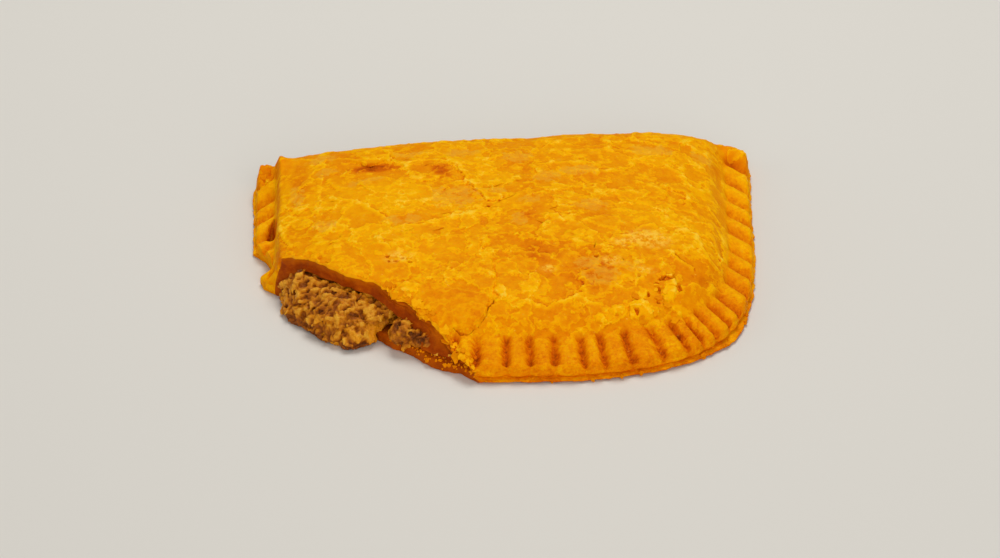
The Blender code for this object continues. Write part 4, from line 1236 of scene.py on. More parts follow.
def bake(obj):
    """Turns what the modifiers make into the object's own plain mesh."""
    graph = bpy.context.evaluated_depsgraph_get()
    seen = obj.evaluated_get(graph)
    made = bpy.data.meshes.new_from_object(seen, preserve_all_data_layers=True, depsgraph=graph)
    old = obj.data
    obj.modifiers.clear()
    obj.data = made
    bpy.data.meshes.remove(old)


def discard(obj):
    """Removes an object and its mesh."""
    mesh = obj.data
    bpy.data.objects.remove(obj)
    bpy.data.meshes.remove(mesh)


def combine(obj, other, operation):
    """An exact Boolean of two objects, kept on the first. The second is removed."""
    step = obj.modifiers.new("Combine", "BOOLEAN")
    step.operation = operation
    step.solver = "EXACT"
    step.material_mode = "TRANSFER"
    step.object = other
    bake(obj)
    discard(other)


golden = bpy.data.materials.new("flaky turmeric pastry, baked")
torn_dough = bpy.data.materials.new("torn pastry crumb, moist")
crust.data.materials.append(golden)
cutter.data.materials.append(torn_dough)
hollow.data.materials.append(torn_dough)
combine(crust, hollow, "DIFFERENCE")
combine(crust, cutter, "DIFFERENCE")
print("crust:", len(crust.data.polygons), "faces,", loose_clean(crust.data), "open edges")
print("materials:", [material.name if material else None for material in crust.data.materials])

# %% [markdown]
# ## What each point of the crust knows
# Colour and relief have to agree: a groove is both deep and painted darker, a painted shade,
# and a new flake both high and pale. So each mark is worked out once, as a named value on
# every point of the mesh, and both the node trees that move the points and the materials read
# it. Most run from 0 to 1, such as how far a point lies in the pressed band, on the front or
# under the pie, or how much painted shade the steep skin gets there. Painting a texture would
# need an unwrapped map, and would not move the surface.

# %% Reading and storing values


def set_values(mesh, name, values):
    """Stores one number, or one place, on each point of a mesh."""
    kind = "FLOAT_VECTOR" if values.ndim == 2 else "FLOAT"
    field = "vector" if values.ndim == 2 else "value"
    layer = mesh.attributes.new(name, kind, "POINT")
    layer.data.foreach_set(field, np.ascontiguousarray(values, dtype=np.float32).ravel())


def read_points(mesh, field="co"):
    """Each point's place or normal, as one row."""
    flat = np.empty(len(mesh.vertices) * 3, dtype=np.float32)
    mesh.vertices.foreach_get(field, flat)
    return flat.reshape(-1, 3).astype(float)


def plan_points(mesh):
    """Each point's place in plan millimetres."""
    return read_points(mesh) / MM + CENTRE


# %% Values on the points
# The rim is pressed right to its edge, but stays round where it stops to be crimped.
ROLL_STOPS = (92.0, 108.0, 186.0, 200.0)

places = plan_points(crust.data)
plan = places[:, :2]
depth, along = nearest_rim(plan)
top = dome_height(plan)
band = section_numbers(along)[:, BAND]
skin_share = smoothstep((places[:, 2] - top + 1.4) / 1.2)
from_fold = fold_line(plan[:, 0]) - plan[:, 1]
round_fold = smoothstep((16.0 - from_fold) / 6.0) * smoothstep((places[:, 2] - 2.0) / 3.0)
upright = read_points(crust.data, "normal")[:, 2]
on_side = np.interp(along, SIDE_STOPS, (1.0, 0.0, 0.0, 1.0))
smooth_edge = np.interp(along, ROLL_STOPS, (0.2, 1.5, 1.5, 0.2))
pressed = smoothstep((depth - smooth_edge) / 1.6)
pressed *= 1.0 - smoothstep((depth - band + 0.7) / 1.4)
pressed *= 1.05 - 0.2 * np.clip(depth / band, 0.0, 1.0)
pressed *= np.clip(places[:, 2] / np.maximum(top, 0.1), 0.0, 1.0) ** 2
in_band = (1.0 - smoothstep((depth - band + 0.5) / 2.0)) * (1.0 - round_fold)
# Steep skin is painted darker, a painted shade, but less so on the pressed band and on the two sides.
shaded = 1.0 - 0.85 * in_band * np.maximum(smoothstep((depth - 1.0) / 1.0), 1.0 - on_side)
shaded *= 1.0 - 0.4 * on_side
point_values = {name: values * skin_share for name, values in marks(plan).items()}
point_values |= {
    "dough": places, "skin": np.maximum(skin_share, round_fold), "below": top - places[:, 2],
    "under": 1.0 - smoothstep((places[:, 2] - 0.15) / 1.2),
    "crimp_share": crimp_share(along, depth), "crimp_side": on_side, "crimp_press": pressed,
    "band": in_band, "side_band": in_band * on_side,
    "steep": shaded * smoothstep((0.85 - upright) / 0.45),
    "front": smoothstep((8.0 - plan[:, 1]) / 45.0),
}
for name, values in point_values.items():
    set_values(crust.data, name, values)
print(len(point_values), "values on", len(places), "points")

# %% The flap beside the tear
# Past the tear's left end the dough wasn't torn but folded, so its faces are golden too.
FLAP_END = -1.2

torn_slot = crust.data.materials.find(torn_dough.name)
golden_slot = crust.data.materials.find(golden.name)
flap_faces = 0
for face in crust.data.polygons:
    place = np.array(face.center)[None, :] / MM + CENTRE
    if face.material_index == torn_slot and cut_place(place)[1][0] < FLAP_END:
        face.material_index = golden_slot
        flap_faces += 1
print(flap_faces, "faces of the flap turned golden")

# %% [markdown]
# ## Crimps, pressed by a node tree
# A fork leaves a row of grooves square to the rim. They repeat along a path, so a geometry
# node tree presses them: every point knows its share of the way from one groove to the next,
# and the tree lowers it by a cosine. The groove's depth and the width of the crest between
# two are inputs, one for the front and one for the sides, where the dough is thicker.

# %% Build and run a geometry tree
MATH = "ShaderNodeMath"
VECTOR_MATH = "ShaderNodeVectorMath"
MAP_RANGE = "ShaderNodeMapRange"
NOISE = "ShaderNodeTexNoise"
POINT_VALUE = "GeometryNodeInputNamedAttribute"


def geometry_tree(name, sizes):
    """A geometry tree with one named number for each size, and its two end nodes."""
    tree = bpy.data.node_groups.new(name, "GeometryNodeTree")
    tree.interface.new_socket("Geometry", in_out="INPUT", socket_type="NodeSocketGeometry")
    tree.interface.new_socket("Geometry", in_out="OUTPUT", socket_type="NodeSocketGeometry")
    for label, value in sizes.items():
        kind = "NodeSocketInt" if isinstance(value, int) else "NodeSocketFloat"
        tree.interface.new_socket(label, in_out="INPUT", socket_type=kind).default_value = value
    return tree, add(tree, "NodeGroupInput"), add(tree, "NodeGroupOutput")


def run_tree(obj, tree, sizes):
    """Runs a geometry tree on an object with the given sizes and keeps the plain mesh."""
    step = obj.modifiers.new(tree.name, "NODES")
    step.node_group = tree
    for item in tree.interface.items_tree:
        if item.item_type == "SOCKET" and item.in_out == "INPUT" and item.name in sizes:
            step[item.identifier] = sizes[item.name]
    bake(obj)


def close_tree(tree, end, geometry, material, only=None):
    """Ends a tree with Realize Instances and Set Material, on the faces of one material
    where it is named, and on all of them otherwise."""
    whole = add(tree, "GeometryNodeRealizeInstances", {"Geometry": geometry})
    chosen = {"Geometry": whole, "Material": material}
    if only:
        chosen["Selection"] = add(tree, "GeometryNodeMaterialSelection", {"Material": only})
    dressed = add(tree, "GeometryNodeSetMaterial", chosen)
    tree.links.new(dressed.outputs[0], end.inputs[0])


# %% Press the crimps
CRIMP_SIZES = {
    "Side Groove Depth": 2.4 * MM, "Front Groove Depth": 2.0 * MM,
    "Side Crest Width": 3.2, "Front Crest Width": 6.5,
}

tree, start, end = geometry_tree("Press the crimps", CRIMP_SIZES)
on_side_value, share, press = [
    add(tree, POINT_VALUE, {"Name": name}) for name in ("crimp_side", "crimp_share", "crimp_press")
]
size = start.outputs
turn = add(tree, MATH, (share, math.pi), operation="MULTIPLY")
wave = add(tree, MATH, (add(tree, MATH, (turn,), operation="COSINE"),), operation="ABSOLUTE")
width, deep = [
    add(tree, MAP_RANGE, {
        "Value": on_side_value, "To Min": size["Front " + label], "To Max": size["Side " + label],
    })
    for label in ("Crest Width", "Groove Depth")
]
groove = add(tree, MATH, (wave, width), operation="POWER")
groove = add(tree, MATH, (groove, press), operation="MULTIPLY")
fall = add(tree, MATH, (groove, deep), operation="MULTIPLY")
fall = add(tree, MATH, (fall, -1.0), operation="MULTIPLY")
offset = add(tree, "ShaderNodeCombineXYZ", {"Z": fall})
moved = add(tree, "GeometryNodeSetPosition", {"Geometry": size[0], "Offset": offset})
kept = add(tree, "GeometryNodeStoreNamedAttribute", {
    "Geometry": moved, "Name": "groove", "Value": groove,
}, data_type="FLOAT", domain="POINT")
close_tree(tree, end, kept, golden, golden)
run_tree(crust, tree, CRIMP_SIZES)
print("crimps pressed over", len(crust.data.vertices), "points")

# %% [markdown]
# ## Sheets of skin
# Short, flaky dough bakes into sheets that overlap like torn paper. Three noise fields of
# different size, each cut off at one level, give ragged islands, and their sum gives the
# overlap. The same few nodes are built into the geometry tree, which raises the sheets by
# a fraction of a millimetre, and into the material, which paints their thin edges bright,
# partly as paler skin and partly as a painted highlight.

# %% Pattern of the sheets
# Width of a sheet in mm, its place in the noise, the level it is cut off at, its height in
# mm, and how much paler the sheet and its lip are.
SHEETS = (
    (21.0, 0.0, 0.50, 0.22, 0.06, 0.19),
    (10.0, 40.0, 0.53, 0.14, 0.045, 0.15),
    (4.5, 80.0, 0.57, 0.08, 0.04, 0.12),
)
# The shares turn widths in mm into the noise's scale and into steps of its level.
NOISE_SHARE = 1.6
RAGGED_SIZE = 2.2
RAGGED_REACH = 2.4
LONG_SHARE = (0.9, 0.95, 1.0)
EDGE_SHARE = 0.16
LIP_SHARE = 0.9
FADE_SHARE = 3.4


def sheet_pattern(tree, place):
    """For each size of sheet: whether a point lies on one, and whether on its bright lip."""
    torn = add(tree, NOISE, {"Vector": place, "Scale": NOISE_SHARE / RAGGED_SIZE, "Detail": 3.0})
    pull = add(tree, VECTOR_MATH, (torn.outputs["Color"], (0.5, 0.5, 0.5)), operation="SUBTRACT")
    pull = add(tree, VECTOR_MATH, {0: pull, "Scale": RAGGED_REACH}, operation="SCALE")
    bent = add(tree, VECTOR_MATH, (place, pull), operation="ADD")
    bent = add(tree, VECTOR_MATH, (bent, LONG_SHARE), operation="MULTIPLY")
    found = []
    for width, seed, level, *_ in SHEETS:
        field = add(tree, NOISE, {
            "Vector": bent, "W": seed, "Scale": NOISE_SHARE / width, "Detail": 3.0,
        }, noise_dimensions="4D")
        edge = level + EDGE_SHARE / width
        on_sheet = add(tree, MAP_RANGE, (field, level, edge))
        lip = add(tree, MAP_RANGE, (field, level + LIP_SHARE / width, edge),
                  interpolation_type="SMOOTHSTEP")
        fade = add(tree, MAP_RANGE, (field, level + FADE_SHARE / width, edge, 0.25, 1.0),
                   interpolation_type="SMOOTHSTEP")
        body = add(tree, MATH, (on_sheet, fade), operation="MULTIPLY")
        found.append((body, add(tree, MATH, (on_sheet, lip), operation="MULTIPLY")))
    return found


# %% Raise the sheets
RELIEF_SIZES = {"Sheet Height": MM, "Grain Height": 0.12 * MM, "Calm On Band": 0.2}

tree, start, end = geometry_tree("Raise the sheets", RELIEF_SIZES)
spot = add(tree, POINT_VALUE, {"Name": "dough"}, data_type="FLOAT_VECTOR")
in_band_value, plain, skin = [
    add(tree, POINT_VALUE, {"Name": name}) for name in ("band", "plain", "skin")
]
size = start.outputs
total = 0.0
for (on_sheet, lip), (_, _, _, height, _, _) in zip(sheet_pattern(tree, spot), SHEETS):
    total = add(tree, MATH, (on_sheet, height, total), operation="MULTIPLY_ADD")
    total = add(tree, MATH, (lip, 0.5 * height, total), operation="MULTIPLY_ADD")
rise = add(tree, MATH, (total, size["Sheet Height"]), operation="MULTIPLY")
grain = add(tree, NOISE, {"Vector": spot, "Scale": 0.9, "Detail": 2.0})
grain = add(tree, MATH, (grain, 0.5), operation="SUBTRACT")
rise = add(tree, MATH, (grain, size["Grain Height"], rise), operation="MULTIPLY_ADD")
even = add(tree, MATH, (in_band_value, plain), operation="MAXIMUM")
calmed = add(tree, MAP_RANGE, {"Value": even, "To Min": 1.0, "To Max": size["Calm On Band"]})
rise = add(tree, MATH, (rise, calmed), operation="MULTIPLY")
rise = add(tree, MATH, (rise, skin), operation="MULTIPLY")
outward = add(tree, "GeometryNodeInputNormal")
offset = add(tree, VECTOR_MATH, {0: outward, "Scale": rise}, operation="SCALE")
moved = add(tree, "GeometryNodeSetPosition", {"Geometry": size[0], "Offset": offset})
close_tree(tree, end, moved, golden, golden)
run_tree(crust, tree, RELIEF_SIZES)
crust.data.shade_smooth()
crust.data.set_sharp_from_angle(angle=math.radians(38))
print("sheets raised,", len(crust.data.polygons), "faces")

# %% [markdown]
# ## Baked turmeric pastry
# Turmeric gives the dough a strong yellow that browns to orange where the oven was hottest.
# It is dry and matt, with a faint sheen of fat, so the roughness is high and uneven. One
# ramp holds its colours in order, from burnt to freshly flaked, and every mark moves a
# point up or down that ramp. That keeps all the shades in one family.

# %% Shades of the crust
PAINT_VALUE = "ShaderNodeAttribute"
# The ramp runs from burnt to freshly flaked, and each mark moves a point so far along it.
CRUST_SHADES = (
    (0.0, "#7a2400"), (0.2, "#cf6000"), (0.38, "#e68600"), (0.55, "#f0a000"),
    (0.75, "#fab600"), (1.0, "#ffc832"),
)
# The crimps' grooves and steep skin are moved down it, as painted shade.
MARK_TONES = (
    ("tone", 0.26), ("yellow", 0.08), ("front", -0.05), ("band", -0.02), ("groove", -0.3),
    ("red", -0.12), ("deep", -0.3), ("under", -0.15), ("steep", -0.17), ("side_band", 0.09),
)
# Noise fields: seed, features per mm, detail and roughness.
NOISE_INPUTS = ("Vector", "W", "Scale", "Detail", "Roughness")
CRUST_FIELDS = {
    "broad": (11.0, 0.06, 3.0, 0.5), "fine": (23.0, 0.35, 6.0, 0.68), "grit": (31.0, 1.3, 4.0, 0.7),
    "mottle": (61.0, 0.7, 4.0, 0.7), "speck": (71.0, 1.1, 3.0, 0.5),
}
TAN = "#e6a028"
BRIGHT_SPECK = "#ffc84a"
PALE_CRUMB = "#fcc440"
# Painted shade in the middle of the cracks.
CRACK_SHADE_COLOUR = "#7a2600"

# %% Values and fields that the crust's paint reads
tree, shader = open_paint(golden, {
    "IOR": 1.45, "Specular IOR Level": 0.02, "Subsurface Weight": 0.25,
    "Subsurface Radius": (1.0, 0.4, 0.05), "Subsurface Scale": 1.2 * MM,
})
names = ("skin", "plain", "tan", "pale", "dark", *[name for name, _ in MARK_TONES])
known = {name: add(tree, PAINT_VALUE, attribute_name=name).outputs["Fac"] for name in names}
spot = add(tree, PAINT_VALUE, attribute_name="dough").outputs["Vector"]
field = {
    name: add(tree, NOISE, dict(zip(NOISE_INPUTS, (spot, *numbers))), noise_dimensions="4D")
    for name, numbers in CRUST_FIELDS.items()
}
print(len(known), "values,", len(field), "fields")

# %% Tone of the crust
even = add(tree, MATH, (known["band"], known["plain"]), operation="MAXIMUM")
calm = add(tree, MAP_RANGE, {"Value": even, "To Min": 1.0, "To Max": 0.5})
sheets = 0.0
relief = 0.0
# Each lip is painted paler: partly the thin skin's colour, partly a painted highlight on the step.
for (on_sheet, lip), (_, _, _, height, pale, lip_pale) in zip(sheet_pattern(tree, spot), SHEETS):
    sheets = add(tree, MATH, (on_sheet, pale, sheets), operation="MULTIPLY_ADD")
    sheets = add(tree, MATH, (lip, lip_pale, sheets), operation="MULTIPLY_ADD")
    relief = add(tree, MATH, (on_sheet, height, relief), operation="MULTIPLY_ADD")
grit = add(tree, MATH, (field["grit"], 0.5), operation="SUBTRACT")
gritty = add(tree, MAP_RANGE, {"Value": known["band"], "To Min": 0.18, "To Max": 0.6})
tone = 0.02
for term, amount in (
    (field["broad"], 0.3), (sheets, calm), (field["fine"], 0.56), (grit, gritty),
    *[(known[name], amount) for name, amount in MARK_TONES],
):
    tone = add(tree, MATH, (term, amount, tone), operation="MULTIPLY_ADD")
colour = add(tree, "ShaderNodeValToRGB", (tone,), CRUST_SHADES)
print("tone:", len(tree.nodes), "nodes so far")

# %% Layers of colour over it
mottle = add(tree, MAP_RANGE, (field["mottle"], 0.42, 0.6), interpolation_type="SMOOTHSTEP")
worn = add(tree, MATH, (field["fine"], 4.5, known["tan"]), operation="MULTIPLY_ADD")
worn = add(tree, MAP_RANGE, (worn, 2.85, 3.05))
worn_share = add(tree, MATH, (mottle, 0.45, 0.3), operation="MULTIPLY_ADD")
worn_share = add(tree, MATH, (worn_share, worn), operation="MULTIPLY")
speck = add(tree, MAP_RANGE, (field["speck"], 0.68, 0.72, 0.0, 0.5))
speck = add(tree, MATH, (speck, calm), operation="MULTIPLY")
speck = add(tree, MATH, (speck, known["skin"]), operation="MULTIPLY")
crumbly = add(tree, MATH, (mottle, known["pale"]), operation="MULTIPLY")
for share, code in (
    (worn_share, TAN), (speck, BRIGHT_SPECK), (crumbly, PALE_CRUMB), (known["dark"], CRACK_SHADE_COLOUR),
):
    layers = {0: share, 6: colour, 7: linear(code)}
    colour = add(tree, "ShaderNodeMix", layers, data_type="RGBA").outputs[2]
tree.links.new(colour, shader.inputs["Base Color"])

# %% Gloss and grain of the crust
rough = add(tree, MATH, (mottle, 0.12, 0.56), operation="MULTIPLY_ADD")
tree.links.new(rough.outputs[0], shader.inputs["Roughness"])
grain = add(tree, NOISE, {"Vector": spot, "Scale": 2.3, "Detail": 4.0, "Roughness": 0.65})
pimples = add(tree, NOISE, {"Vector": spot, "Scale": 0.75, "Detail": 3.0})
pimples = add(tree, MATH, (pimples, 1.4, grain), operation="MULTIPLY_ADD")
small_bumps = add(tree, "ShaderNodeBump", {"Height": pimples, "Distance": 0.07 * MM, "Strength": 0.8})
steps = add(tree, "ShaderNodeBump", {
    "Height": relief, "Distance": 0.5 * MM, "Strength": 0.35, "Normal": small_bumps,
})
tree.links.new(steps.outputs[0], shader.inputs["Normal"])
print("crust paint:", len(tree.nodes), "nodes")

# %% [markdown]
# ## Torn dough
# Where the crust was pulled apart its inside shows: deeper orange, soaked with the filling's
# fat, in faint layers that run along with the skin. The thin outermost skin stays bright,
# because it dried before the rest. The value that says how far a point lies below the skin
# gives both.

# %% Paint of the torn dough
TORN_SHADES = ((0.3, "#842c00"), (0.5, "#a04000"), (0.7, "#bc5a00"))
ROLLED_EDGE = "#dc7a00"
LOWER_LEDGE = "#b85600"
DRY_SKIN = "#fdae04"

tree, shader = open_paint(torn_dough, {"Roughness": 0.5, "Specular IOR Level": 0.04})
spot = add(tree, PAINT_VALUE, attribute_name="dough").outputs["Vector"]
below = add(tree, PAINT_VALUE, attribute_name="below").outputs["Fac"]
stretched = add(tree, VECTOR_MATH, (spot, (0.45, 0.45, 1.1)), operation="MULTIPLY")
grain = add(tree, NOISE, {"Vector": stretched, "Scale": 1.0, "Detail": 4.0, "Roughness": 0.6})
patches = add(tree, NOISE, {"Vector": spot, "Scale": 0.2, "Detail": 3.0})
value = add(tree, MATH, (grain, 0.5), operation="MULTIPLY")
value = add(tree, MATH, (patches, 0.5, value), operation="MULTIPLY_ADD")
colour = add(tree, "ShaderNodeValToRGB", (value,), TORN_SHADES)
rolled = add(tree, MAP_RANGE, (below, 3.0, 0.8, 0.0, 0.4), interpolation_type="SMOOTHSTEP")
level = add(tree, "ShaderNodeSeparateXYZ", (spot,)).outputs["Z"]
ledge = add(tree, MAP_RANGE, (level, 3.6, 2.4, 0.0, 0.6), interpolation_type="SMOOTHSTEP")
ledge = add(tree, MATH, (ledge, patches), operation="MULTIPLY")
ledge = add(tree, MATH, (ledge, 1.6), operation="MULTIPLY")
skin_edge = add(tree, MAP_RANGE, (below, 1.0, 0.6), interpolation_type="SMOOTHSTEP")
for share, code in ((rolled, ROLLED_EDGE), (ledge, LOWER_LEDGE), (skin_edge, DRY_SKIN)):
    layers = {0: share, 6: colour, 7: linear(code)}
    colour = add(tree, "ShaderNodeMix", layers, data_type="RGBA").outputs[2]
tree.links.new(colour, shader.inputs["Base Color"])
bump = add(tree, "ShaderNodeBump", {"Height": grain, "Distance": 0.16 * MM, "Strength": 0.8})
tree.links.new(bump.outputs[0], shader.inputs["Normal"])
print("torn dough paint:", len(tree.nodes), "nodes")

# %% [markdown]
# ## Curried mince
# The filling is cooked mince: soft strands and lumps two to four millimetres thick, pressed
# together, with dark pits between them and a film of turmeric fat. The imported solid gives
# its true outline. Where it shows, a node tree lays bent strands over a slightly thinner
# core, and a voxel remesh fuses them, as cooking does. Behind that, where no eye reaches,
# the plain core goes on through the pie. Pure bumps in a material would give no real pits.

# %% The filling's core
SLAB_DEPTH = 15.0
CORE_VOXEL = 0.9 * MM
STRAND_ROOM = 0.9
SHOWING_FROM = -7.5
# A notch in the mound: its place along the cut, half width and depth.
NOTCH = (42.4, 1.6, 6.0)
# Lumps that lie in the gap beside the mound: place along the cut, reach, height, and radii.
LUMPS = (
    ((46.8, 0.9, 5.1), (5.6, 4.0, 4.1)),
    ((53.6, -0.5, 5.2), (6.0, 3.2, 3.0)),
    ((60.5, -1.2, 3.9), (6.2, 2.3, 1.8)),
)


def merged_copy(name, node):
    """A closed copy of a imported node's mesh."""
    made = placed(name, node.data.copy())
    with editing(made.data) as work:
        bmesh.ops.remove_doubles(work, verts=work.verts, dist=0.001 * MM)
    made.data.materials.clear()
    return made


def block_before(reach):
    """A block that holds all that lies further out of the cut than a reach."""
    corners = []
    for height in (-5.0, 40.0):
        for out, past in ((reach, -60.0), (60.0, -60.0), (60.0, 130.0), (reach, 130.0)):
            corners.append((*(CUT_START + out * CUT_OUTWARD + past * CUT_ALONG), height))
    faces = [(0, 1, 2, 3), (7, 6, 5, 4), (0, 4, 5, 1), (1, 5, 6, 2), (2, 6, 7, 3), (3, 7, 4, 0)]
    return placed("block", mesh_from("block", corners, faces))


def add_lumps(mesh, lumps):
    """Adds egg-shaped lumps that a later remesh fuses with the rest."""
    with editing(mesh) as work:
        for (place, reach, height), (wide, deep, tall) in lumps:
            middle = CUT_START + reach * CUT_OUTWARD + place * CUT_ALONG
            for vertex in bmesh.ops.create_icosphere(work, subdivisions=3, radius=1.0)["verts"]:
                x, y, z = vertex.co
                spot = middle + x * wide * CUT_ALONG + y * deep * CUT_OUTWARD
                vertex.co = Vector((np.array((*spot, height + z * tall)) - CENTRE) * MM)


def fuse(obj, voxel, passes):
    """Joins overlapping closed shapes into one skin of small even faces and calms it."""
    step = obj.modifiers.new("Fuse", "REMESH")
    step.mode = "VOXEL"
    step.voxel_size = voxel
    step.adaptivity = 0.0
    calm_step = obj.modifiers.new("Calm", "SMOOTH")
    calm_step.factor = 0.5
    calm_step.iterations = passes
    bake(obj)


def move_points(mesh, points):
    """Sets the mesh's points from plan millimetres."""
    mesh.vertices.foreach_set("co", ((points - CENTRE) * MM).astype(np.float32).ravel())
    mesh.update()


# %% Cut the core in two, add the lumps and fuse its front
mince = merged_copy("cooked_mince", frame["nodes"]["meat_filling"])
back_core = merged_copy("back_core", frame["nodes"]["meat_filling"])
combine(back_core, block_before(1.0 - SLAB_DEPTH), "DIFFERENCE")
combine(mince, block_before(-SLAB_DEPTH), "INTERSECT")
add_lumps(mince.data, LUMPS)
fuse(mince, CORE_VOXEL, 5)
print("core:", len(mince.data.polygons), "faces, back:", len(back_core.data.polygons))

# %% Make room for the strands where the core shows
points = plan_points(mince.data)
normals = read_points(mince.data, "normal")
reach, past = cut_place(points)
facing_out = normals[:, :2] @ CUT_OUTWARD
showing = smoothstep((reach - SHOWING_FROM) / 1.5) * smoothstep((facing_out + 0.55) / 0.4)
showing *= smoothstep((points[:, 2] - 1.5) / 1.4) * smoothstep((past - 1.5) / 2.5)
points -= normals * (STRAND_ROOM * showing)[:, None]
notch = hump(past, NOTCH) * smoothstep((reach + 2.0) / 3.0)
points[:, :2] -= notch[:, None] * CUT_OUTWARD
move_points(mince.data, points)
set_values(mince.data, "showing", showing * (notch < 0.3 * NOTCH[2]))
mince_core = placed("mince_core", mince.data.copy())
print(int((showing > 0.5).sum()), "of", len(points), "points show")

# %% Shapes of strands
STRAND_LENGTHS = (2.6, 3.6, 4.8, 6.4, 3.4, 2.2)
STRAND_WIDTHS = (2.2, 1.7, 1.6, 1.4, 2.9, 1.6)


def strand(index, length, width):
    """One bent, uneven strand of mince, closed, lying along X."""
    rings, sides = 9, 8
    points = []
    for ring in range(rings):
        t = ring / (rings - 1)
        radius = 0.5 * width * math.sqrt(max(1.0 - abs(2 * t - 1) ** 3.0, 0.03))
        radius *= 1.0 + 0.35 * noise.noise(Vector((t * length * 0.6, index * 7.3, 1.0)))
        bend = 0.22 * length * math.sin(math.pi * t) * (-1) ** index
        for side in range(sides):
            turn = 2 * math.pi * side / sides
            y = bend + radius * math.cos(turn)
            points.append(Vector(((t - 0.5) * length, y, 0.75 * radius * math.sin(turn))) * MM)
    faces = ring_faces(sides, rings)
    faces += [tuple(range(sides - 1, -1, -1)), tuple(range((rings - 1) * sides, rings * sides))]
    return small_object(f"strand_{index}", points, faces)


def small_object(name, points, faces):
    """A closed little object at the origin, in metres, to be scattered."""
    mesh = bpy.data.meshes.new(name)
    mesh.from_pydata(points, [], faces)
    with editing(mesh) as work:
        bmesh.ops.recalc_face_normals(work, faces=work.faces)
    return bpy.data.objects.new(name, mesh)


def collected(name, objects):
    """A collection of small objects, kept out of the scene."""
    made = bpy.data.collections.new(name)
    for item in objects:
        made.objects.link(item)
    return made


def discard_all(collection):
    """Removes a collection and the objects in it."""
    for item in list(collection.objects):
        discard(item)
    bpy.data.collections.remove(collection)


strand_sizes = enumerate(zip(STRAND_LENGTHS, STRAND_WIDTHS))
strands = collected("strands", [strand(index, *size) for index, size in strand_sizes])

# %% Lay the strands
curried = bpy.data.materials.new("cooked mince with turmeric fat")
STRAND_SIZES = {"Gap": 1.35 * MM, "Smallest": 0.65, "Largest": 1.2, "Lean": 0.5, "Seed": 9}


def lay(tree, size, value, kinds, most, seed):
    """Lays a collection's shapes on a tree's mesh where a value on its points is near 1, at
    most so many on a square metre, each one turned, leant and sized at random."""
    wanted = add(tree, POINT_VALUE, {"Name": value})
    spread = add(tree, "GeometryNodeDistributePointsOnFaces", {
        "Mesh": size[0], "Distance Min": size["Gap"], "Density Max": most,
        "Density Factor": wanted, "Seed": size["Seed"],
    }, distribute_method="POISSON")
    back = add(tree, MATH, (size["Lean"], -1.0), operation="MULTIPLY")
    low = add(tree, "ShaderNodeCombineXYZ", (back, back, -math.pi))
    high = add(tree, "ShaderNodeCombineXYZ", (size["Lean"], size["Lean"], math.pi))
    tilt = add(tree, "FunctionNodeRandomValue", {0: low, 1: high, "Seed": seed}, data_type="FLOAT_VECTOR")
    turned = add(tree, "FunctionNodeRotateRotation", (spread.outputs["Rotation"], tilt),
                 rotation_space="LOCAL")
    scale = add(tree, "FunctionNodeRandomValue", {
        2: size["Smallest"], 3: size["Largest"], "Seed": seed + 1,
    }, data_type="FLOAT")
    shapes = add(tree, "GeometryNodeCollectionInfo", {
        "Collection": kinds, "Separate Children": True, "Reset Children": True,
    })
    return add(tree, "GeometryNodeInstanceOnPoints", {
        "Points": spread.outputs["Points"], "Instance": shapes, "Pick Instance": True,
        "Rotation": turned, "Scale": scale.outputs[1],
    })


tree, start, end = geometry_tree("Lay the strands", STRAND_SIZES)
laid = lay(tree, start.outputs, "showing", strands, 4.0e6, 11)
together = add(tree, "GeometryNodeJoinGeometry", (start.outputs[0],))
tree.links.new(laid.outputs[0], together.inputs[0])
close_tree(tree, end, together, curried)
run_tree(mince, tree, STRAND_SIZES)
print("strands laid:", len(mince.data.polygons), "faces before fusing")

# %% Fuse them and add the grain
MINCE_VOXEL = 0.27 * MM
MINCE_GRAIN = 0.36
SEAM_DEPTH = 0.5


def seams(points, scale, seed, width):
    """1 in the winding seams between lumps of one size, 0 on the lumps."""
    return np.clip(1.0 - np.abs(wobble(points, scale, seed)) / width, 0.0, 1.0)


fuse(mince, MINCE_VOXEL, 1)
points = plan_points(mince.data)
normals = read_points(mince.data, "normal")
reach, past = cut_place(points)
grain = wobble(points, 0.8, 3.0) + 0.7 * wobble(points, 1.8, 5.0)
parted = seams(points, 5.0, 7.0, 0.1) + 0.6 * seams(points, 2.8, 9.0, 0.1)
shift = (MINCE_GRAIN * grain - SEAM_DEPTH * parted) * smoothstep((reach + 9.0) / 2.0)
points += normals * shift[:, None]
points[:, 2] = np.maximum(points[:, 2], 0.02)
move_points(mince.data, points)
combine(mince, back_core, "UNION")
mince.data.materials.clear()
mince.data.materials.append(curried)
discard_all(strands)
print("mince:", len(mince.data.polygons), "faces,", loose_clean(mince.data), "open edges")

# %% How high each point stands on the core
core_work = bmesh.new()
core_work.from_mesh(mince_core.data)
core_tree = BVHTree.FromBMesh(core_work)
heights = np.zeros(len(mince.data.vertices))
for index, vertex in enumerate(mince.data.vertices):
    spot, normal, _, gap = core_tree.find_nearest(vertex.co)
    heights[index] = math.copysign(gap, (vertex.co - spot).dot(normal)) / MM
core_work.free()
discard(mince_core)
# Past 43 mm along the cut every point counts as 0.35 mm lower, so the paint makes the mince darker there.
heights -= 0.35 * smoothstep((cut_place(plan_points(mince.data))[1] - 43.0) / 3.0)
set_values(mince.data, "standing", heights)
set_values(mince.data, "dough", plan_points(mince.data))
mince.data.shade_smooth()
print("stands", np.round(np.percentile(heights, (5, 50, 95)), 2), "mm")

# %% [markdown]
# ## Colour of the mince
# Meat cooked with turmeric is tan to brown. It is painted darkest in the pits, a painted shade,
# and lightest on the strands' backs, a painted highlight. The height of each point over the
# core gives that order. Yellow fat has run down and shines on the lower lumps.

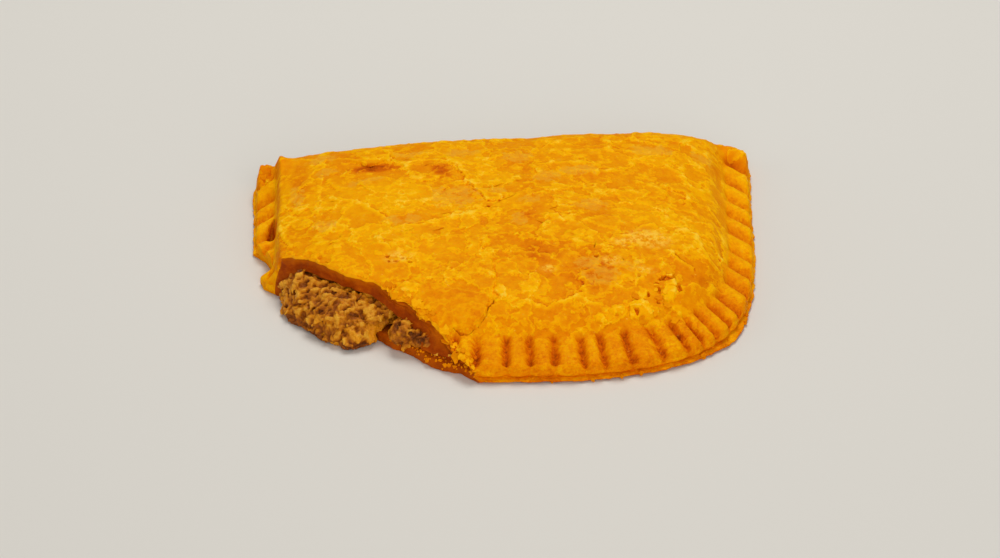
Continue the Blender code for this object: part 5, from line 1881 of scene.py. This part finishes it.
# %% Paint of the mince
MINCE_SHADES = ((0.08, "#3c1202"), (0.3, "#984e02"), (0.56, "#ca7a06"), (0.9, "#eaaa2c"))
YELLOW_FAT = "#e8960a"
MINCE_FIELDS = {
    "lumps": (3.0, 0.36, 3.0, 0.5), "fine": (9.0, 1.6, 4.0, 0.65), "fat": (47.0, 0.25, 2.0, 0.5),
}

tree, shader = open_paint(curried, {"Roughness": 0.45, "Specular IOR Level": 0.15})
spot = add(tree, PAINT_VALUE, attribute_name="dough").outputs["Vector"]
standing = add(tree, PAINT_VALUE, attribute_name="standing").outputs["Fac"]
field = {
    name: add(tree, NOISE, dict(zip(NOISE_INPUTS, (spot, *numbers))), noise_dimensions="4D")
    for name, numbers in MINCE_FIELDS.items()
}
# Low points painted dark and high ones light: painted shade in the pits, painted highlight on the backs.
shade_by_height = add(tree, MAP_RANGE, (standing, -0.4, 1.6), interpolation_type="SMOOTHSTEP")
value = -0.22
for term, amount in ((shade_by_height, 0.6), (field["lumps"], 0.5), (field["fine"], 0.35)):
    value = add(tree, MATH, (term, amount, value), operation="MULTIPLY_ADD")
colour = add(tree, "ShaderNodeValToRGB", (value,), MINCE_SHADES)
fat = add(tree, MAP_RANGE, (field["fat"], 0.52, 0.6, 0.0, 0.8), interpolation_type="SMOOTHSTEP")
height = add(tree, "ShaderNodeSeparateXYZ", (spot,)).outputs["Z"]
low = add(tree, MAP_RANGE, (height, 7.5, 4.0), interpolation_type="SMOOTHSTEP")
fat = add(tree, MATH, (fat, low), operation="MULTIPLY")
layers = {0: fat, 6: colour, 7: linear(YELLOW_FAT)}
colour = add(tree, "ShaderNodeMix", layers, data_type="RGBA").outputs[2]
tree.links.new(colour, shader.inputs["Base Color"])
grain = add(tree, NOISE, {"Vector": spot, "Scale": 3.2, "Detail": 4.0, "Roughness": 0.7})
bump = add(tree, "ShaderNodeBump", {"Height": grain, "Distance": 0.2 * MM, "Strength": 0.9})
tree.links.new(bump.outputs[0], shader.inputs["Normal"])
print("mince paint:", len(tree.nodes), "nodes")

# %% [markdown]
# ## Loose flakes and crumbs
# Short dough sheds. Thin flakes lie along the tear and round the holes in the skin, and crumbs
# on the lower sheet's ledge. A node tree scatters a few small closed shapes where a value on
# the crust's points is near 1, and turns and sizes each one differently. Its inputs are the
# gap between them, their sizes and how far they lean.

# %% Shapes of flakes and crumbs
FLAKE_WIDTHS = (2.6, 2.0, 1.6, 3.0, 2.2)
FLAKE_THICKNESS = 0.28
CRUMB_WIDTHS = (1.0, 0.8, 1.3, 0.7)


def flake(index, width):
    """One thin ragged flake of skin, closed, slightly curled, lying flat."""
    sides = 11
    points = []
    for level in (-0.5, 0.5):
        for side in range(sides):
            turn = 2 * math.pi * side / sides
            spot = Vector((math.cos(turn), math.sin(turn), 0.0))
            reach = 0.5 * width * (1.0 + 0.7 * noise.noise(spot * 1.7 + Vector((0, 0, index * 5.1))))
            x, y = reach * spot.x, 0.65 * reach * spot.y
            points.append(Vector((x, y, level * FLAKE_THICKNESS + 0.12 * x * x)) * MM)
    faces = ring_faces(sides, 2)
    faces += [tuple(range(sides - 1, -1, -1)), tuple(range(sides, 2 * sides))]
    return small_object(f"flake_{index}", points, faces)


def crumb(index, width):
    """One rough round crumb, closed."""
    mesh = bpy.data.meshes.new(f"crumb_{index}")
    with editing(mesh) as work:
        for vertex in bmesh.ops.create_icosphere(work, subdivisions=2, radius=1.0)["verts"]:
            lump = noise.noise(vertex.co * 1.5 + Vector((index * 4.7, 0.0, 0.0)))
            vertex.co *= 0.5 * width * (1.0 + 0.7 * lump) * MM
    return bpy.data.objects.new(mesh.name, mesh)


flakes = collected("flakes", [flake(index, width) for index, width in enumerate(FLAKE_WIDTHS)])
crumbs = collected("crumbs", [crumb(index, width) for index, width in enumerate(CRUMB_WIDTHS)])

# %% Paint of the loose flakes
# Dry and thin, so they look paler than the skin below them.
loose_skin = bpy.data.materials.new("loose flake of turmeric pastry")
FLAKE_SHADES = ((0.25, "#e08000"), (0.65, "#f2a400"), (1.1, "#fdbe14"))

tree, shader = open_paint(loose_skin, {"Roughness": 0.65, "Specular IOR Level": 0.02})
shade = add(tree, PAINT_VALUE, attribute_name="shade").outputs["Fac"]
spot = add(tree, "ShaderNodeTexCoord").outputs["Object"]
fine = add(tree, NOISE, {"Vector": spot, "Scale": 1.2 / MM, "Detail": 3.0})
value = add(tree, MATH, (fine, 0.5, shade), operation="MULTIPLY_ADD")
colour = add(tree, "ShaderNodeValToRGB", (value,), FLAKE_SHADES)
tree.links.new(colour.outputs[0], shader.inputs["Base Color"])
print("flake paint:", len(tree.nodes), "nodes")

# %% Scatter them
SCATTER_SIZES = {
    "Gap": 1.0 * MM, "Smallest": 0.6, "Largest": 1.2, "Lean": 0.2, "Palest": 0.6, "Seed": 5,
}


def scatter(name, where, kinds, sizes):
    """A piece made of small things laid on the crust where a value on its points is near 1."""
    piece = placed(name, crust.data.copy())
    set_values(piece.data, "where", where)
    tree, start, end = geometry_tree(name, sizes)
    laid = lay(tree, start.outputs, "where", kinds, 2.0e6, 21)
    palest = start.outputs["Palest"]
    shade = add(tree, "FunctionNodeRandomValue", {3: palest, "Seed": 23}, data_type="FLOAT")
    shaded = add(tree, "GeometryNodeStoreNamedAttribute", {
        "Geometry": laid, "Name": "shade", "Value": shade.outputs[1],
    }, data_type="FLOAT", domain="INSTANCE")
    close_tree(tree, end, shaded, loose_skin)
    run_tree(piece, tree, sizes)
    piece.data.materials.clear()
    piece.data.materials.append(loose_skin)
    print(name, len(piece.data.polygons), "faces")
    return piece


# %% Flakes along the tear
spots = plan_points(crust.data)
facing = read_points(crust.data, "normal")
reach, past = cut_place(spots)
to_tear = line_gaps(spots[:, :2], top_path, False, 3.0)[0]
crumbly = np.maximum(window(past, 37.0, 56.0, 4.0), window(past, 62.0, 76.0, 4.0))
crumbly = np.maximum(crumbly, 0.08 * (past > 4.0))
on_edge = (1.0 - smoothstep((to_tear - 0.9) / 1.4)) * skin_share * crumbly
torn_edge_flakes = scatter("torn_edge_flakes", on_edge, flakes, SCATTER_SIZES)

# %% Flakes round the holes and on the plates' edges
holed = np.hypot(spots[:, 0] - 35.0, 0.8 * (spots[:, 1] + 33.0))
patched = np.hypot(spots[:, 0] + 38.5, 1.4 * (spots[:, 1] + 11.6))
edged = smoothstep((marks(spots[:, :2])["tone"] - 0.7) / 0.2)
near_holes = 0.35 * (1.0 - smoothstep((holed - 5.0) / 6.0))
near_holes += 0.5 * (1.0 - smoothstep((patched - 2.5) / 2.0))
on_skin = (near_holes + 0.05 * edged) * skin_share * (facing[:, 2] > 0.5)
skin_flakes = scatter("skin_flakes", on_skin, flakes, {
    **SCATTER_SIZES, "Gap": 2.0 * MM, "Largest": 1.4, "Lean": 0.1,
})

# %% Crumbs on the lower sheet, beside the tear and along the rim
level = spots[:, 2]
on_ledge = window(past, 44.0, 78.0, 3.0) * (level < 3.4) * (facing[:, 2] > 0.15) * (reach > -4.0)
beside = window(along, 96.0, 108.0, 4.0) * (depth < 5.0) * (level > 0.6)
on_lip = 0.12 * (level < 1.6) * (level > 0.3) * (depth < 1.5) * window(along, 96.0, 262.0, 6.0)
rough = 0.8 * on_ledge * (to_tear < 9.0) + 0.25 * beside + on_lip
pastry_crumbs = scatter("pastry_crumbs", rough, crumbs, {
    **SCATTER_SIZES, "Gap": 0.8 * MM, "Smallest": 0.4, "Largest": 1.5, "Lean": 1.5, "Palest": 0.1,
})
discard_all(flakes)
discard_all(crumbs)

# %% [markdown]
# ## Hand over
# Crust and mince stand in for the two imported solids, and every piece rides on the pie's one
# body, because nothing on it moves.

# %% Hand over
for piece, node, slot in ((crust, "pastry_crust", "crust"), (mince, "meat_filling", "filling")):
    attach(piece, "root")
    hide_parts(node)
for piece in (torn_edge_flakes, skin_flakes, pastry_crumbs):
    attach(piece, "root")
